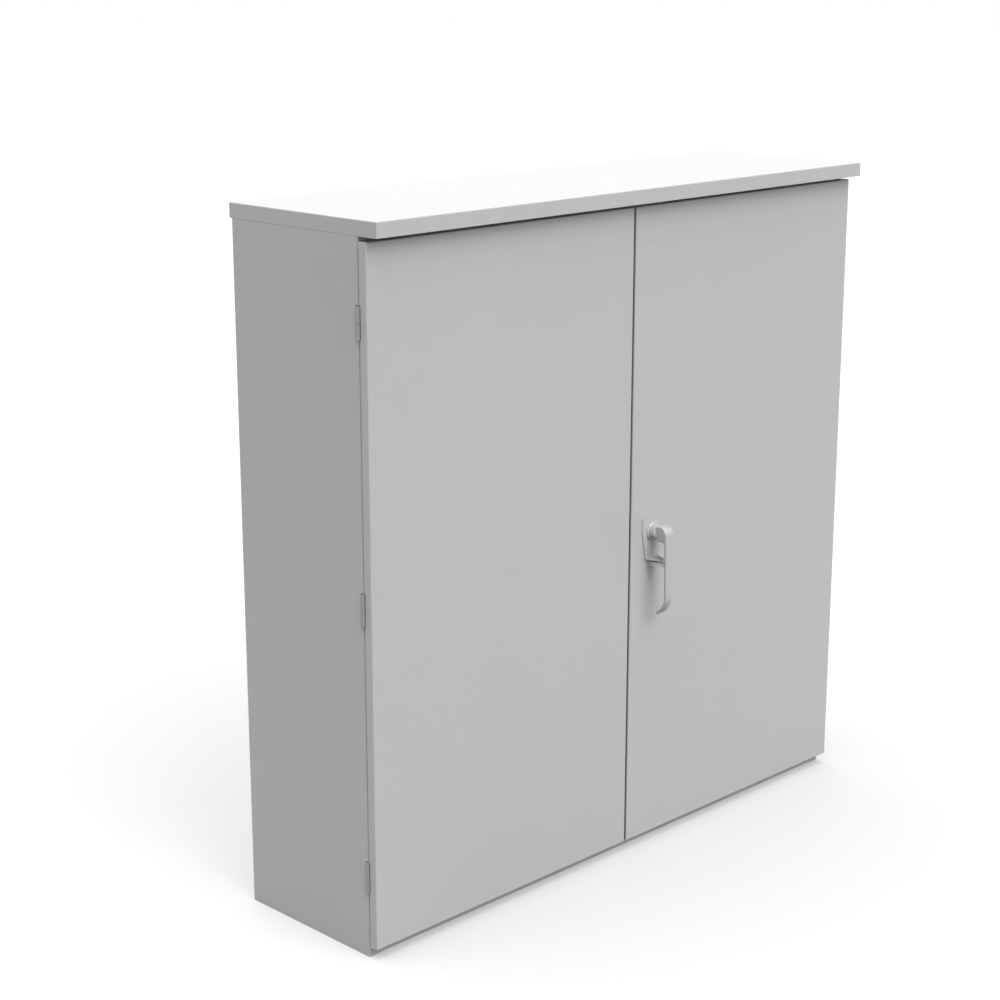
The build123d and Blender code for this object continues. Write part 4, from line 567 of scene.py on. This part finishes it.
# Lock cover screws
# Four small button-head screws of zinc-plated steel, with a hexagon socket, one near each corner of the
# cover. They go into the housing's own bosses.
COVER_SCREW_HEAD = 3.4
COVER_SCREW_SOCKET = 1.6
low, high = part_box("lock_cover_screws")
screw = bmesh.new()
turned(screw, [(0, 1.4), (COVER_SCREW_SOCKET, 1.4), (COVER_SCREW_SOCKET, 0), (2.3, 0.1), (3.0, 0.5),
               (COVER_SCREW_HEAD, 1.2), (COVER_SCREW_HEAD, 2.2), (0, 2.2)], steps=24)
hexagon_socket(screw, COVER_SCREW_SOCKET)
bmesh.ops.rotate(screw, verts=screw.verts, cent=(0, 0, 0), matrix=Matrix.Rotation(math.pi, 3, "Z"))
screws = copies(screw, [(x, high.y, z) for x in middles(low.x, high.x, COVER_SCREW_HEAD, 2)
                        for z in middles(low.z, high.z, COVER_SCREW_HEAD, 2)])
fit(screws, "lock_cover_button_screws", bright_zinc, "right_door", "lock_cover_screws")

# Spindle screw
# One large button-head screw of zinc-plated steel in the end of the spindle, outside the cover. Its wide
# head keeps the pinion, the spindle and the handle from being pulled out of the lock.
SPINDLE_SCREW_HEAD = 9.5
SPINDLE_SCREW_SOCKET = 3.4
low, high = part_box("spindle_screw")
screw = bmesh.new()
turned(screw, [(0, 2.2), (SPINDLE_SCREW_SOCKET, 2.2), (SPINDLE_SCREW_SOCKET, 0), (5.4, 0.1), (7.4, 0.6),
               (8.8, 1.3), (SPINDLE_SCREW_HEAD, 2.2), (SPINDLE_SCREW_HEAD, 3.2), (0, 3.2)], steps=36)
hexagon_socket(screw, SPINDLE_SCREW_SOCKET)
bmesh.ops.rotate(screw, verts=screw.verts, cent=(0, 0, 0), matrix=Matrix.Rotation(math.pi, 3, "Z"))
screws = copies(screw, [(x, high.y, z) for x in middles(low.x, high.x, SPINDLE_SCREW_HEAD, 1)
                        for z in middles(low.z, high.z, SPINDLE_SCREW_HEAD, 1)])
fit(screws, "spindle_button_screw", bright_zinc, "handle", "spindle_screw")

# Lock rods
# Two flat zinc-plated rods with rack teeth at the lock end. Each runs through a black nylon guide near
# the edge of the door and goes behind the frame when the handle hangs down.
dress(bright_zinc, "upper_rod", "lower_rod")
dress(nylon, "upper_rod_guide", "lower_rod_guide")

# Guide rivets
# Two flush rivets through the right-hand door's skin that hold the upper rod guide. The riveting set has
# pressed a shallow dish into each head, and they are coated with the door.
GUIDE_RIVET_HEAD = 3.4
GUIDE_RIVET_SHANK = 2.0
low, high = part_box("guide_rivets")
rivet = bmesh.new()
turned(rivet, [(0, 1.15), (0.8, 1.1), (2.9, 0.1), (GUIDE_RIVET_HEAD, 0), (GUIDE_RIVET_HEAD, 1.35),
               (GUIDE_RIVET_SHANK, 1.35), (GUIDE_RIVET_SHANK, 10.35), (0, 10.35)])
rivets = copies(rivet, [(x, low.y, z) for x in middles(low.x, high.x, GUIDE_RIVET_HEAD, 2)
                        for z in middles(low.z, high.z, GUIDE_RIVET_HEAD, 1)])
fit(rivets, "dished_guide_rivets", powder_coat, "right_door", "guide_rivets")

# Studio
# A wide pale floor under soft light from above and in front, with the camera where the photograph was
# taken from. None of this is part of the cabinet.
FLOOR_HALF = 30.0
ground = bmesh.new()
bmesh.ops.create_grid(ground, x_segments=1, y_segments=1, size=FLOOR_HALF)
floor_mesh = bpy.data.meshes.new("floor")
ground.to_mesh(floor_mesh)
ground.free()
floor = bpy.data.objects.new("floor", floor_mesh)
bpy.context.collection.objects.link(floor)


def seen_rays(tree):
    """Socket that is 1 where the camera, a reflection or a clear piece looks, and 0 for other light."""
    rays = add(tree, "ShaderNodeLightPath", {})
    seen = add(tree, "ShaderNodeMath", {0: rays.outputs["Is Camera Ray"], 1: rays.outputs["Is Glossy Ray"]},
               operation="MAXIMUM")
    seen = add(tree, "ShaderNodeMath", {0: seen.outputs["Value"], 1: rays.outputs["Is Transmission Ray"]},
               operation="MAXIMUM")
    return seen.outputs["Value"]


# Matt white card: evenly pale, with nothing but the cabinet's shadow on it. Part of the white that the
# camera sees is the card's own, so that the shadow stays as light as a studio's.
CARD_OWN_WHITE = 0.28
card, tree, place = start_material("white_card")
fibre = add(tree, "ShaderNodeTexNoise", {"Vector": place, "Scale": per_size(40), "Detail": 2.0})
tone = add(tree, "ShaderNodeMix", {"Factor": fibre.outputs["Fac"], "A": linear("#7D7D7D"),
                                   "B": linear("#7F7F7F")}, data_type="RGBA")
seen = seen_rays(tree)
shown = add(tree, "ShaderNodeMix", {"Factor": seen, "A": tone.outputs["Result"],
                                    "B": linear("#BDBDBD")}, data_type="RGBA")
own_white = add(tree, "ShaderNodeMapRange", {"Value": seen, "To Min": 0.0, "To Max": CARD_OWN_WHITE})
close_material(tree, {"Base Color": shown.outputs["Result"], "Roughness": 0.7,
                      "Emission Color": linear("#FFFFFF"),
                      "Emission Strength": own_white.outputs["Result"]})
floor_mesh.materials.append(card)

SKY_STRENGTH = 0.115
world = bpy.data.worlds.new("studio")
bpy.context.scene.world = world
world.use_nodes = True
tree = world.node_tree
tree.nodes.clear()
level = add(tree, "ShaderNodeMapRange", {"Value": seen_rays(tree), "To Min": SKY_STRENGTH, "To Max": 1.0})
sky = add(tree, "ShaderNodeBackground", {"Color": linear("#FFFFFF"), "Strength": level.outputs["Result"]})
add(tree, "ShaderNodeOutputWorld", {"Surface": sky.outputs["Background"]})

OVERHEAD_LIGHT = ("overhead", 3.02, 70, (-11, -8, 0))
FRONT_LIGHT = ("front", 2.17, 50, (44.5, 0, 1))
for name, strength, spread, turn in (OVERHEAD_LIGHT, FRONT_LIGHT):
    sun_data = bpy.data.lights.new(name, "SUN")
    sun_data.energy = strength
    sun_data.angle = math.radians(spread)
    sun = bpy.data.objects.new(name, sun_data)
    sun.rotation_euler = [math.radians(angle) for angle in turn]
    bpy.context.collection.objects.link(sun)

CAMERA_PLACE = (-2.62206, -2.47026, 1.59062)
CAMERA_TURN = (math.radians(90 - 15.0084), 0, math.radians(-45.0015))
CAMERA_LENS = 75.028
CAMERA_SENSOR = 36.0
camera_data = bpy.data.cameras.new("camera")
camera_data.lens = CAMERA_LENS
camera_data.sensor_width = CAMERA_SENSOR
camera = bpy.data.objects.new("camera", camera_data)
camera.location = CAMERA_PLACE
camera.rotation_euler = CAMERA_TURN
bpy.context.collection.objects.link(camera)
bpy.context.scene.camera = camera
bpy.context.scene.view_settings.view_transform = "Standard"
